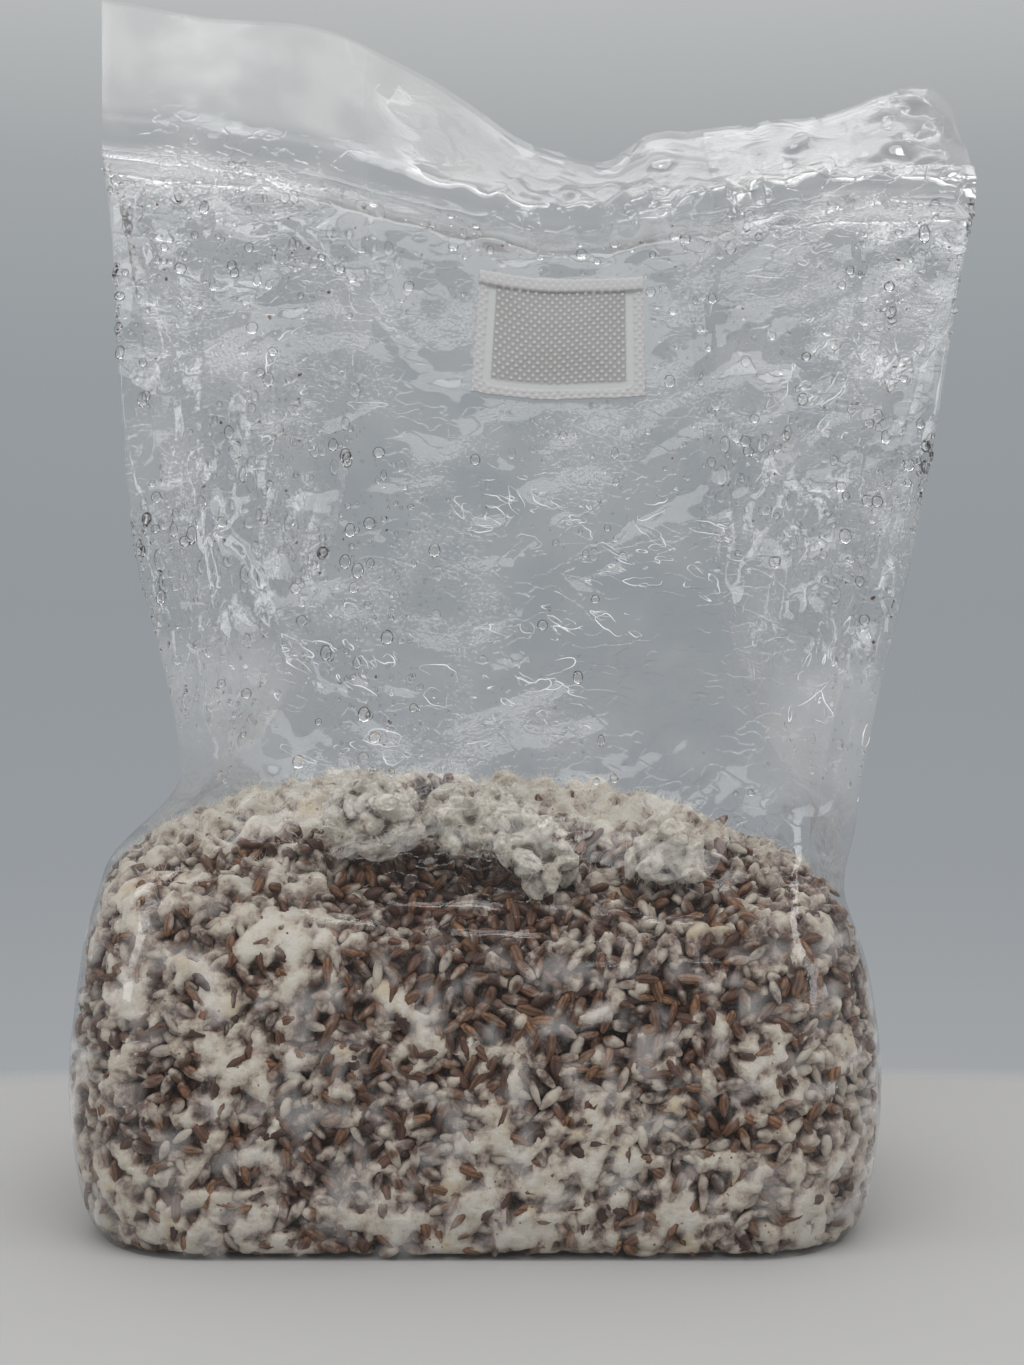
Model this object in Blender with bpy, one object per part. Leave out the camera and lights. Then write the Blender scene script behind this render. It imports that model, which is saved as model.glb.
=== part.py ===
"""Grain spawn bag: a clear gusseted film bag, its filter patch, and the grown-through rye block inside.

The bag is first laid out straight, level by level, as a loft of outlines whose side folds deepen
towards the heat seal. One drape function then bends every piece alike into the bag as it stands,
so what fits in the straight layout still fits after it. Sizes below are in millimetres.
"""

import math
import random
from typing import NamedTuple

import bmesh
import bpy
import numpy as np
from mathutils import Matrix, Vector, noise
from mathutils.bvhtree import BVHTree

MM = 0.001

# Block of grain, measured over the film
BLOCK_WIDTH = 180.0
BLOCK_DEPTH = 122.0
BLOCK_HEIGHT = 97.0
BLOCK_OFFSET = -14.6
BASE_CORNER = 26.0
BLOCK_CORNER = 33.0
LUMP_DEPTH = 2.6
LUMP_PITCH = 13.0
TOP_LUMP_HEIGHT = 3.2

# Film bag
WALL = 0.8
WAIST_WIDTH = 153.0
WAIST_DEPTH = 94.0
WAIST_CORNER = 23.1
SEAL_WIDTH = 209.2
SEAL_HEIGHT = 241.0
SEAL_OFFSET = 0.0
SEAL_THICKNESS = 2.4
SEAL_TAPER = 5.0
FLAP_LENGTH = 31.0
FLAP_THICKNESS = 1.6
GUSSET_FOLD = 63.0
FOLD_CORNER = 1.4

# How the standing bag sags: the shoulders slope, the seal dips, the flap curls back
SHOULDER_SLOPE = -0.05
FLAP_CURL_LENGTH = 7.0

# Filter patch on the front panel, its window in the film and its weld frame
PATCH_WIDTH = 38.0
PATCH_HEIGHT = 31.0
PATCH_THICKNESS = 0.9
PATCH_CENTRE_X = 5.0
PATCH_CENTRE_Z = 206.0
PATCH_PILLOW = 0.9
WELD_INSET = 2.2
WELD_WIDTH = 1.8
WELD_DEPTH = 0.35
HEM_HEIGHT = 3.4
HEM_RISE = 0.9
WINDOW_MARGIN = 1.5
WINDOW_WIDTH = PATCH_WIDTH - 2 * (WELD_INSET + WELD_WIDTH + WINDOW_MARGIN)
WINDOW_HEIGHT = PATCH_HEIGHT - 2 * (max(WELD_INSET + WELD_WIDTH, HEM_HEIGHT) + WINDOW_MARGIN)
WINDOW_CORNER = 3.0

# Overgrown kernels that make up the loose clods
KERNEL_LENGTH = 8.0
KERNEL_THICKNESS = 4.6
KERNEL_CROWDING = 10.0
CLOD_VOXEL = 1.0
CLOD_FACES = 330

CORE_FILL = 0.74
KERNEL_REACH = (0.60, 0.84)

# Loose clods: place of each over the block, as shares of its half width and half depth from its
# centre, and the clod's cores as offset and size
CLODS = (
    ("clod_left", (-0.249, -0.607), ((0.0, 0.0, 0.0, 23.0, 16.0, 19.0),), 3),
    ("clod_middle", (0.062, -0.557),
     ((-6.0, 0.0, 0.0, 22.0, 13.0, 13.0), (8.5, -5.0, -6.0, 15.0, 12.0, 19.0)), 5),
    ("clod_right", (0.473, -0.672), ((0.0, 0.0, 0.0, 19.0, 11.0, 11.0),), 8),
)

# Clearances between pieces
GAP = 0.3
BLOCK_GAP = 0.45
PATCH_GAP = 0.35

# Facets along a quarter of the outline
PANEL_STEPS = 5
CORNER_STEPS = 3
FOLD_STEPS = 3

# Levels of the bag: shares of the block's height, then shares of the way from its crown to the seal
BLOCK_LEVELS = (0.0, 0.012, 0.04, 0.10, 0.20, 0.34, 0.48, 0.60, 0.70, 0.79, 0.88, 0.96)
HEADSPACE_LEVELS = (0.06, 0.14, 0.24, 0.35, 0.47, 0.60, 0.73, 0.85, 0.945)
FLAP_LEVELS = (0.2, 0.45, 0.72, 1.0)

# Outline of the full part of the bag: height, width and depth as shares of the block's, and how far
# the corner has opened from the base's radius to the block's
BLOCK_FORM = (
    (0.00, 0.915, 0.925, 0.00),
    (0.04, 0.952, 0.955, 0.40),
    (0.11, 0.975, 0.980, 0.75),
    (0.34, 1.000, 1.000, 1.00),
    (0.60, 0.972, 0.980, 1.00),
    (0.78, 0.920, 0.925, 0.65),
)

# Share of the block's height over which the film's flat floor turns into its wall
FLOOR_TURN = 0.34

# Shares of the block's height between which its shoulders start to slope and stop, then fade out
SLOPE_RISE = (0.36, 0.90)
SLOPE_FADE = (0.95, 1.60)

# A cleft runs where the second nearest lump is hardly further off than the nearest
CLEFT_DEPTH = 1.25
CLEFT_FALL = 1.6

# Outline of the headspace: share of the way to the seal, then shares of the change from waist to seal
HEADSPACE_FORM = (
    # level, width, depth, fold, offset
    (0.00, 0.00, 0.00, 0.14, 0.66),
    (0.13, 0.10, 0.18, 0.36, 0.70),
    (0.37, 0.41, 0.42, 0.66, 0.72),
    (0.65, 0.65, 0.655, 0.87, 0.84),
    (0.83, 0.79, 0.82, 0.96, 0.93),
    (0.95, 0.92, 0.925, 1.00, 0.98),
    (1.00, 1.000, 1.000, 1.00, 1.00),
)

# Sag of the seal and curl of the flap across its half width: place, drop in mm, curl in degrees
SEAL_FORM = (
    (-1.00, 12.0, 0.0),
    (-0.75, 9.5, 9.0),
    (-0.52, 6.0, 2.0),
    (-0.30, 0.0, 18.0),
    (0.03, -6.5, 52.0),
    (0.16, -6.0, 58.0),
    (0.28, -4.5, 46.0),
    (0.62, 0.0, 50.0),
    (0.92, 1.0, 33.0),
    (1.00, 0.5, 46.0),
)

# Where the block leaves the film, as a share of its height, at the front, right, back and left,
# and how full its top is in each direction: it slopes away at the front and is domed elsewhere
CONTACT_LEVELS = (0.62, 0.78, 0.80, 0.84)
DOME_POWERS = (1.2, 3.0, 3.0, 3.0)
CROWN_SHIFT = 8.0
DOME_STEPS = (0.965, 0.90, 0.81, 0.69, 0.55, 0.40, 0.24, 0.10)


class Section(NamedTuple):
    """Outline of the bag at one level: centre, half sizes, corner radius and depth of its side folds."""

    centre: float
    half_width: float
    half_depth: float
    corner: float
    fold: float


class Finish(NamedTuple):
    """Colour, roughness and see-through share of a material."""

    colour: tuple
    roughness: float
    alpha: float = 1.0


FILM_FINISH = Finish((0.86, 0.88, 0.90), 0.12, 0.30)
FILTER_FINISH = Finish((0.62, 0.63, 0.66), 0.85)
GRAIN_FINISH = Finish((0.33, 0.25, 0.20), 0.80)
CLOD_FINISH = Finish((0.66, 0.62, 0.55), 0.95)


def clear_scene() -> None:
    """Remove whatever the file opened with."""
    for obj in list(bpy.data.objects):
        bpy.data.objects.remove(obj)


def make_material(name: str, finish: Finish) -> bpy.types.Material:
    """One Principled material from a finish."""
    material = bpy.data.materials.new(name)
    material.use_nodes = True
    shader = material.node_tree.nodes["Principled BSDF"]
    shader.inputs["Base Color"].default_value = (*finish.colour, 1.0)
    shader.inputs["Roughness"].default_value = finish.roughness
    shader.inputs["Metallic"].default_value = 0.0
    shader.inputs["Alpha"].default_value = finish.alpha
    return material


def smoothstep(value: float, low: float, high: float) -> float:
    """Rise from 0 at low to 1 at high with level ends."""
    share = min(max((value - low) / (high - low), 0.0), 1.0)
    return share * share * (3.0 - 2.0 * share)


def smooth_curve(at: float, knots: list, values: list) -> float:
    """Value of the smooth curve through the knots, which never overshoots them."""
    at = min(max(at, knots[0]), knots[-1])
    index = min(max(int(np.searchsorted(knots, at)) - 1, 0), len(knots) - 2)
    widths = np.diff(knots)
    slopes = np.diff(values) / widths
    tangents = np.zeros(len(knots))
    tangents[0] = slopes[0]
    tangents[-1] = slopes[-1]
    for knot in range(1, len(knots) - 1):
        if slopes[knot - 1] * slopes[knot] > 0:
            tangents[knot] = 2.0 * slopes[knot - 1] * slopes[knot] / (slopes[knot - 1] + slopes[knot])
    width = widths[index]
    share = (at - knots[index]) / width
    return float(
        (1 + 2 * share) * (1 - share) ** 2 * values[index]
        + share * (1 - share) ** 2 * width * tangents[index]
        + share ** 2 * (3 - 2 * share) * values[index + 1]
        + share ** 2 * (share - 1) * width * tangents[index + 1]
    )


def form_table() -> np.ndarray:
    """Rows of height, centre, half width, half depth, corner and fold from the floor to the seal."""
    rows = []
    for level, width, depth, corner in BLOCK_FORM:
        rows.append((level * BLOCK_HEIGHT, BLOCK_OFFSET, width * BLOCK_WIDTH / 2, depth * BLOCK_DEPTH / 2,
                     BASE_CORNER + (BLOCK_CORNER - BASE_CORNER) * corner, 0.0))
    for level, width, depth, fold, offset in HEADSPACE_FORM:
        rows.append((BLOCK_HEIGHT + level * (SEAL_HEIGHT - SEAL_TAPER - BLOCK_HEIGHT),
                     BLOCK_OFFSET + offset * (SEAL_OFFSET - BLOCK_OFFSET),
                     (WAIST_WIDTH + width * (SEAL_WIDTH - WAIST_WIDTH)) / 2,
                     (WAIST_DEPTH + depth * (4 * SEAL_THICKNESS - WAIST_DEPTH)) / 2,
                     max(WAIST_CORNER * (1 - level) ** 3, FOLD_CORNER),
                     fold * GUSSET_FOLD))
    return np.array(rows)


FORM = form_table()


def section_at(height: float) -> Section:
    """Outer outline of the bag at a height below the seal's taper."""
    heights = list(FORM[:, 0])
    values = [smooth_curve(height, heights, list(FORM[:, column])) for column in range(1, 6)]
    return Section(*values)


def inset(section: Section, wall: float) -> Section:
    """The outline one wall further in; beside the sharp folds the wall takes up more of the width."""
    steepness = section.fold / section.half_depth
    edge = wall * (1.0 + 2.0 * steepness)
    apex = wall * math.sqrt(1.0 + steepness ** 2)
    return Section(
        section.centre,
        section.half_width - edge,
        section.half_depth - wall,
        max(section.corner - wall, FOLD_CORNER / 2),
        max(section.fold + apex - edge, 0.0),
    )


def outline(section: Section) -> np.ndarray:
    """Points round one level, from the front centre to the right; a side fold ends in its inner crease."""
    centre, half_width, half_depth, corner, fold = section
    quarter = []
    for step in range(PANEL_STEPS):
        quarter.append(((half_width - corner) * step / PANEL_STEPS, -half_depth))
    for step in range(CORNER_STEPS + 1):
        angle = math.radians(90.0 * step / CORNER_STEPS)
        x = half_width - corner * (1 - math.sin(angle))
        quarter.append((x, -half_depth + corner * (1 - math.cos(angle))))
    for step in range(1, FOLD_STEPS + 1):
        share = step / FOLD_STEPS
        quarter.append((half_width - fold * share, -(half_depth - corner) * (1 - share)))
    right_back = [(x, -y) for x, y in quarter[-2::-1]]
    left_back = [(-x, -y) for x, y in quarter[1:]]
    left_front = [(-x, y) for x, y in quarter[-2:0:-1]]
    points = np.array(quarter + right_back + left_back + left_front)
    points[:, 0] += centre
    return points


def raise_outline(points: np.ndarray, height: float) -> np.ndarray:
    """The outline's points at one height."""
    return np.column_stack([points, np.full(len(points), height)])


def bag_levels() -> list:
    """Heights of the bag's rings from the floor to the start of the seal's taper."""
    taper_start = SEAL_HEIGHT - SEAL_TAPER
    lower = [level * BLOCK_HEIGHT for level in BLOCK_LEVELS]
    upper = [BLOCK_HEIGHT + level * (taper_start - BLOCK_HEIGHT) for level in HEADSPACE_LEVELS]
    return lower + upper


def drape(point: np.ndarray) -> tuple:
    """Move a point of the straight layout to its place in the bag as it stands."""
    x, y, z = point
    shoulder = smoothstep(z / BLOCK_HEIGHT, *SLOPE_RISE) * (1.0 - smoothstep(z / BLOCK_HEIGHT, *SLOPE_FADE))
    lift = SHOULDER_SLOPE * (x - BLOCK_OFFSET) * shoulder
    across = (x - SEAL_OFFSET) / (SEAL_WIDTH / 2)
    places = [row[0] for row in SEAL_FORM]
    sag = smooth_curve(across, places, [row[1] for row in SEAL_FORM])
    lift += sag * smoothstep(z, BLOCK_HEIGHT, SEAL_HEIGHT)
    along = z - SEAL_HEIGHT
    if along <= 0:
        return (x, y, z + lift)
    curl = math.radians(smooth_curve(across, places, [row[2] for row in SEAL_FORM]))
    angle = curl * smoothstep(along, -FLAP_CURL_LENGTH, FLAP_CURL_LENGTH)
    return (
        x,
        along * math.sin(angle) + y * math.cos(angle),
        SEAL_HEIGHT + lift + along * math.cos(angle) - y * math.sin(angle),
    )


def loft(rings: list) -> bmesh.types.BMesh:
    """Closed mesh through a stack of rings with as many points each, its ends filled flat."""
    bm = bmesh.new()
    loops = [[bm.verts.new(Vector(point) * MM) for point in ring] for ring in rings]
    count = len(loops[0])
    for lower, upper in zip(loops, loops[1:]):
        for index in range(count):
            after = (index + 1) % count
            bm.faces.new((lower[index], lower[after], upper[after], upper[index]))
    bm.faces.new(loops[0][::-1])
    bm.faces.new(loops[-1])
    bmesh.ops.triangulate(bm, faces=[face for face in bm.faces if len(face.verts) == 4], quad_method="FIXED")
    bmesh.ops.triangulate(bm, faces=[face for face in bm.faces if len(face.verts) > 3], ngon_method="BEAUTY")
    return bm


def add_object(name: str, bm: bmesh.types.BMesh, material: bpy.types.Material) -> bpy.types.Object:
    """Turn a bmesh into a named, smooth-shaded object with its material."""
    mesh = bpy.data.meshes.new(name)
    bm.to_mesh(mesh)
    bm.free()
    mesh.materials.append(material)
    mesh.shade_smooth()
    mesh.set_sharp_from_angle(angle=math.radians(40))
    obj = bpy.data.objects.new(name, mesh)
    bpy.context.scene.collection.objects.link(obj)
    return obj


def apply_modifiers(obj: bpy.types.Object) -> None:
    """Replace an object's mesh with the one that its modifiers give."""
    bpy.context.view_layer.update()
    evaluated = obj.evaluated_get(bpy.context.evaluated_depsgraph_get())
    mesh = bpy.data.meshes.new_from_object(evaluated)
    obj.modifiers.clear()
    obj.data = mesh


def subtract(target: bpy.types.Object, cutter: bpy.types.Object) -> None:
    """Cut one object out of another and remove the cutter."""
    cutter.hide_render = True
    cutter.display_type = "WIRE"
    modifier = target.modifiers.new("cut", "BOOLEAN")
    modifier.operation = "DIFFERENCE"
    modifier.solver = "EXACT"
    modifier.object = cutter
    apply_modifiers(target)
    bpy.data.objects.remove(cutter)


def drape_object(obj: bpy.types.Object) -> None:
    """Bend an object from the straight layout, with its faces cut to triangles first."""
    bm = bmesh.new()
    bm.from_mesh(obj.data)
    bmesh.ops.triangulate(bm, faces=bm.faces)
    for vert in bm.verts:
        vert.co = Vector(drape(np.array(vert.co) / MM)) * MM
    bm.to_mesh(obj.data)
    bm.free()


def outer_rings() -> list:
    """Rings of the film's outer face: the open bag, the weld that closes it, and the flap above."""
    rings = [raise_outline(outline(section_at(height)), height) for height in bag_levels()]
    weld = Section(SEAL_OFFSET, SEAL_WIDTH / 2, SEAL_THICKNESS / 2, SEAL_THICKNESS / 4, 0.0)
    rings.append(raise_outline(outline(weld), SEAL_HEIGHT))
    flap = weld._replace(half_depth=FLAP_THICKNESS / 2, corner=FLAP_THICKNESS / 4)
    for level in FLAP_LEVELS:
        rings.append(raise_outline(outline(flap), SEAL_HEIGHT + level * FLAP_LENGTH))
    return rings


def above_floor(height: float, wall: float) -> float:
    """A height raised by one wall at the floor, and by less further up its turn into the wall."""
    return height + wall * max(0.0, 1.0 - height / (FLOOR_TURN * BLOCK_HEIGHT))


def inner_rings(wall: float) -> list:
    """Rings one wall inside the film's outer face, raised by a wall at the flat bottom."""
    rings = []
    for height in bag_levels():
        section = inset(section_at(height), wall)
        rings.append(raise_outline(outline(section), above_floor(height, wall)))
    return rings


def make_window_cutter(material: bpy.types.Material) -> bpy.types.Object:
    """Rounded block that cuts the window under the filter patch through the front wall alone."""
    front = section_at(PATCH_CENTRE_Z).half_depth
    reach = front * 0.75
    bm = bmesh.new()
    bmesh.ops.create_cube(bm, size=1.0)
    bmesh.ops.scale(bm, vec=Vector((WINDOW_WIDTH, 2 * reach, WINDOW_HEIGHT)) * MM, verts=bm.verts)
    along_y = [edge for edge in bm.edges if abs((edge.verts[0].co - edge.verts[1].co).y) > reach * MM]
    bmesh.ops.bevel(bm, geom=along_y, offset=WINDOW_CORNER * MM, segments=3, affect="EDGES", profile=0.5)
    bmesh.ops.translate(bm, vec=Vector((PATCH_CENTRE_X, -front, PATCH_CENTRE_Z)) * MM, verts=bm.verts)
    return add_object("window_cutter", bm, material)


def make_bag(material: bpy.types.Material) -> bpy.types.Object:
    """Film bag: outer form less the inner form and less the window, then draped."""
    bag = add_object("bag_film", loft(outer_rings()), material)
    subtract(bag, add_object("hollow_cutter", loft(inner_rings(WALL)), material))
    subtract(bag, make_window_cutter(material))
    drape_object(bag)
    return bag


def front_depth(height: float) -> float:
    """Depth of the faceted front panel at a height, between its two nearest rings."""
    levels = bag_levels()
    return float(np.interp(height, levels, [section_at(level).half_depth for level in levels]))


def patch_relief(across: float, up: float) -> float:
    """Thickness of the patch at a place measured from its lower left corner."""
    edge = min(across, PATCH_WIDTH - across, up, PATCH_HEIGHT - up)
    below_hem = PATCH_HEIGHT - up > HEM_HEIGHT
    if not below_hem:
        return PATCH_THICKNESS + HEM_RISE
    if WELD_INSET <= edge <= WELD_INSET + WELD_WIDTH:
        return PATCH_THICKNESS - WELD_DEPTH
    if edge > WELD_INSET + WELD_WIDTH:
        inside = edge - WELD_INSET - WELD_WIDTH
        return PATCH_THICKNESS + PATCH_PILLOW * smoothstep(inside, 0.0, PATCH_HEIGHT / 4)
    return PATCH_THICKNESS


def patch_lines(length: float, top_hem: float) -> list:
    """Grid lines across the patch: each edge of the weld frame and hem, and steps between them."""
    weld_end = WELD_INSET + WELD_WIDTH
    step_edge = 0.25
    lines = [0.0, WELD_INSET - step_edge, WELD_INSET, weld_end, weld_end + step_edge]
    far = length - top_hem if top_hem else length - weld_end
    lines += list(np.linspace(weld_end + step_edge, far - step_edge, 8)[1:])
    if top_hem:
        lines += [length - top_hem + step_edge, length]
    else:
        lines += [length - weld_end, length - WELD_INSET, length - WELD_INSET + step_edge, length]
    return lines


def make_patch(material: bpy.types.Material) -> bpy.types.Object:
    """Filter patch: a sheet that lies along the front panel, with its weld frame, pillow and hem."""
    bm = bmesh.new()
    columns = patch_lines(PATCH_WIDTH, 0.0)
    rows = patch_lines(PATCH_HEIGHT, HEM_HEIGHT)
    sheets = []
    for front in (False, True):
        grid = []
        for up in rows:
            line = []
            for across in columns:
                height = PATCH_CENTRE_Z - PATCH_HEIGHT / 2 + up
                rise = patch_relief(across, up) if front else 0.0
                point = (
                    PATCH_CENTRE_X - PATCH_WIDTH / 2 + across,
                    -(front_depth(height) + PATCH_GAP + rise),
                    height,
                )
                line.append(bm.verts.new(Vector(point) * MM))
            grid.append(line)
        sheets.append(grid)
        for low, high in zip(grid, grid[1:]):
            for left in range(len(columns) - 1):
                corners = (low[left], low[left + 1], high[left + 1], high[left])
                bm.faces.new(corners if front else corners[::-1])
    bmesh.ops.bridge_loops(bm, edges=[edge for edge in bm.edges if edge.is_boundary])
    bmesh.ops.recalc_face_normals(bm, faces=bm.faces)
    patch = add_object("filter_patch", bm, material)
    drape_object(patch)
    return patch


def subdivide_ring(points: np.ndarray) -> np.ndarray:
    """The ring with one more point halfway along each side."""
    halves = (points + np.roll(points, -1, axis=0)) / 2
    return np.stack([points, halves], axis=1).reshape(-1, points.shape[1])


def lumpiness(point: Vector) -> float:
    """Share from 0 on the crown of a lump to 1 in the cleft between lumps."""
    distances = noise.voronoi(point / LUMP_PITCH)[0]
    return max(0.0, min(1.0, CLEFT_DEPTH - CLEFT_FALL * (distances[1] - distances[0])))


def around(x: float, y: float, values: tuple) -> float:
    """Value in the direction of a point, from values at the block's front, right, back and left."""
    angle = math.atan2(y / BLOCK_DEPTH, (x - BLOCK_OFFSET) / BLOCK_WIDTH)
    turns = (angle + math.pi / 2) / (2 * math.pi) % 1.0
    return smooth_curve(turns, [0.0, 0.25, 0.5, 0.75, 1.0], [*values, values[0]])


def contact_height(x: float, y: float) -> float:
    """Height at which the block leaves the film, in the direction of a point."""
    return BLOCK_HEIGHT * around(x, y, CONTACT_LEVELS)


def block_wall(height: float) -> np.ndarray:
    """Ring of the block's outer face at a height, halfway points included, on the film's own facets."""
    levels = bag_levels()
    wall = WALL + BLOCK_GAP
    index = min(max(int(np.searchsorted(levels, height)) - 1, 0), len(levels) - 2)
    share = (height - levels[index]) / (levels[index + 1] - levels[index])
    low = outline(inset(section_at(levels[index]), wall))
    high = outline(inset(section_at(levels[index + 1]), wall))
    return subdivide_ring(low * (1 - share) + high * share)


def block_rings() -> list:
    """Rings of the block: up the film to where it leaves it, then in over the domed top."""
    wall = WALL + BLOCK_GAP
    base = BLOCK_HEIGHT * min(CONTACT_LEVELS)
    levels = [level for level in bag_levels() if level < base - LUMP_PITCH / 3]
    heights = sorted(levels + [(low + high) / 2 for low, high in zip(levels[3:], levels[4:])])
    rings = []
    for height in heights:
        rings.append(raise_outline(block_wall(height), above_floor(height, wall)))
    last = rings[-1]
    for share in (0.5, 1.0):
        ring = []
        for x, y, z in last:
            rim = contact_height(x, y)
            ring.append(z + (rim - z) * share)
        wall_points = [block_wall(height)[index] for index, height in enumerate(ring)]
        rings.append(np.column_stack([np.array(wall_points), np.array(ring)]))
    rim = rings[-1]
    crown = np.array((BLOCK_OFFSET, CROWN_SHIFT, BLOCK_HEIGHT))
    powers = np.array([around(x, y, DOME_POWERS) for x, y, z in rim])
    for step in DOME_STEPS:
        ring = crown + (rim - crown) * step
        ring[:, 2] = rim[:, 2] + (BLOCK_HEIGHT - rim[:, 2]) * (1 - step ** powers)
        rings.append(ring)
    return rings


def push_lumps(bm: bmesh.types.BMesh) -> None:
    """Press clefts between the lumps into the block's sides and raise lumps on its top, base left flat."""
    bm.normal_update()
    moves = []
    for vert in bm.verts:
        at = vert.co / MM
        cleft = lumpiness(at)
        free = smoothstep(at.z, contact_height(at.x, at.y), BLOCK_HEIGHT)
        free *= max(vert.normal.z, 0.0)
        depth = LUMP_DEPTH * cleft * smoothstep(at.z, 2.0, LUMP_PITCH)
        moves.append(vert.normal * (TOP_LUMP_HEIGHT * free * (1 - cleft) - depth) * MM)
    for vert, move in zip(bm.verts, moves):
        vert.co += move


def make_block(material: bpy.types.Material) -> bpy.types.Object:
    """Grain block: fills the bag up to its rim, with a lumpy domed top set back at the front."""
    bm = loft(block_rings())
    push_lumps(bm)
    block = add_object("grain_block", bm, material)
    drape_object(block)
    return block


def tree_of(obj: bpy.types.Object) -> BVHTree:
    """Search tree over an object's faces."""
    bm = bmesh.new()
    bm.from_mesh(obj.data)
    tree = BVHTree.FromBMesh(bm)
    bm.free()
    return tree


def drop_distance(piece: bpy.types.Object, ground: bpy.types.Object) -> float:
    """How far a piece can fall, in metres, before it meets what lies under it."""
    down = Vector((0, 0, -1))
    below = tree_of(ground)
    above = tree_of(piece)
    falls = []
    for vert in piece.data.vertices:
        hit = below.ray_cast(vert.co, down)[3]
        if hit is not None:
            falls.append(hit)
    for vert in ground.data.vertices:
        hit = above.ray_cast(vert.co, -down)[3]
        if hit is not None:
            falls.append(hit)
    return min(falls)


def add_kernels(bm: bmesh.types.BMesh, core: tuple, draw: random.Random) -> None:
    """Add a core and the overgrown kernels that stud it, spread evenly round it."""
    centre = Vector(core[:3])
    half = Vector(core[3:]) / 2
    bmesh.ops.create_icosphere(bm, subdivisions=3, radius=1.0,
                               matrix=Matrix.Translation(centre) @ Matrix.Diagonal((*(half * CORE_FILL), 1.0)))
    shape = Matrix.Diagonal((KERNEL_LENGTH / 2, KERNEL_THICKNESS / 2, KERNEL_THICKNESS / 2, 1.0))
    kernels = int(half.x * half.y / (KERNEL_LENGTH * KERNEL_THICKNESS) * KERNEL_CROWDING)
    for number in range(kernels):
        height = 1 - 2 * (number + 0.5) / kernels
        angle = number * math.pi * (3 - math.sqrt(5))
        reach = math.sqrt(1 - height ** 2)
        at = Vector((reach * math.cos(angle), reach * math.sin(angle), height)) * draw.uniform(*KERNEL_REACH)
        tilt = Matrix.Rotation(draw.uniform(-1.4, 1.4), 4, "Y")
        turn = Matrix.Rotation(draw.uniform(0, 3.1), 4, "Z")
        place = Matrix.Translation(centre + Vector(a * b for a, b in zip(at, half)))
        bmesh.ops.create_icosphere(bm, subdivisions=2, radius=1.0, matrix=place @ tilt @ turn @ shape)


def make_clod(name: str, place: tuple, cores: tuple, seed: int,
              material: bpy.types.Material, ground: bpy.types.Object) -> bpy.types.Object:
    """Loose clod: cores studded with kernels, fused, thinned and let down onto the block."""
    draw = random.Random(seed)
    bm = bmesh.new()
    for core in cores:
        add_kernels(bm, core, draw)
    bmesh.ops.scale(bm, vec=(MM, MM, MM), verts=bm.verts)
    start = Vector((BLOCK_OFFSET + place[0] * BLOCK_WIDTH / 2, place[1] * BLOCK_DEPTH / 2, 2 * BLOCK_HEIGHT))
    bmesh.ops.translate(bm, vec=start * MM, verts=bm.verts)
    clod = add_object(name, bm, material)
    remesh = clod.modifiers.new("fuse", "REMESH")
    remesh.mode = "VOXEL"
    remesh.voxel_size = CLOD_VOXEL * MM
    apply_modifiers(clod)
    thin = clod.modifiers.new("thin", "DECIMATE")
    thin.ratio = CLOD_FACES * len(cores) / (2 * len(clod.data.polygons))
    apply_modifiers(clod)
    fall = drop_distance(clod, ground) - GAP * MM
    clod.data.transform(Matrix.Translation((0, 0, -fall)))
    return clod


def main() -> None:
    """Build every piece of the spawn bag."""
    clear_scene()
    film = make_material("film", FILM_FINISH)
    filter_cloth = make_material("filter_cloth", FILTER_FINISH)
    grain = make_material("grain", GRAIN_FINISH)
    mycelium = make_material("mycelium", CLOD_FINISH)
    make_bag(film)
    make_patch(filter_cloth)
    block = make_block(grain)
    for name, place, cores, seed in CLODS:
        make_clod(name, place, cores, seed, mycelium, block)


main()
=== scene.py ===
"""Looks of the grain spawn bag: clear wrinkled film, filter patch, grown-through rye and loose clods.

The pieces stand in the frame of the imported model. Sizes in the classes below are in millimetres, as
on a maker's drawing, and are turned to metres where a mesh is made.
"""

import logging
import math
from dataclasses import dataclass
from enum import Enum
from itertools import product

import bpy
import numpy as np
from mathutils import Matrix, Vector


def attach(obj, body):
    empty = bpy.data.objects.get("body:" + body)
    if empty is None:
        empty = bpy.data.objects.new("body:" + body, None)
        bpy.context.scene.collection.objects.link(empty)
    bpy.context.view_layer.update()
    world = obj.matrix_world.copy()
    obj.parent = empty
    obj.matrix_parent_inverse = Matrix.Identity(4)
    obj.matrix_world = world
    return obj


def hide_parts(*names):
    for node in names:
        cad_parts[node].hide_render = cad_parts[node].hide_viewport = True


MM = 0.001
BODY = "root"
LOG = logging.getLogger("spawn_bag")

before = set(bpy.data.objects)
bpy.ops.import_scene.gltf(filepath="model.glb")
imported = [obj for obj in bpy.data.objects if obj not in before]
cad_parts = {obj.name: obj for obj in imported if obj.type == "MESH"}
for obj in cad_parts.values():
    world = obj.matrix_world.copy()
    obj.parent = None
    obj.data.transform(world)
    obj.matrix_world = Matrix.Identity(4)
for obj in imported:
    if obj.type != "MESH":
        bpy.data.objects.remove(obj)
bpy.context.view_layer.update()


class Slot(Enum):
    """Material slots of the record."""

    FILM = "film"
    FILTER_CLOTH = "filter_cloth"
    GRAIN = "grain"
    MYCELIUM = "mycelium"


class Panel(Enum):
    """Stretches of the film round the bag, in the order in which a ring passes them."""

    FRONT = 0
    RIGHT = 1
    BACK = 2
    LEFT = 3


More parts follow.
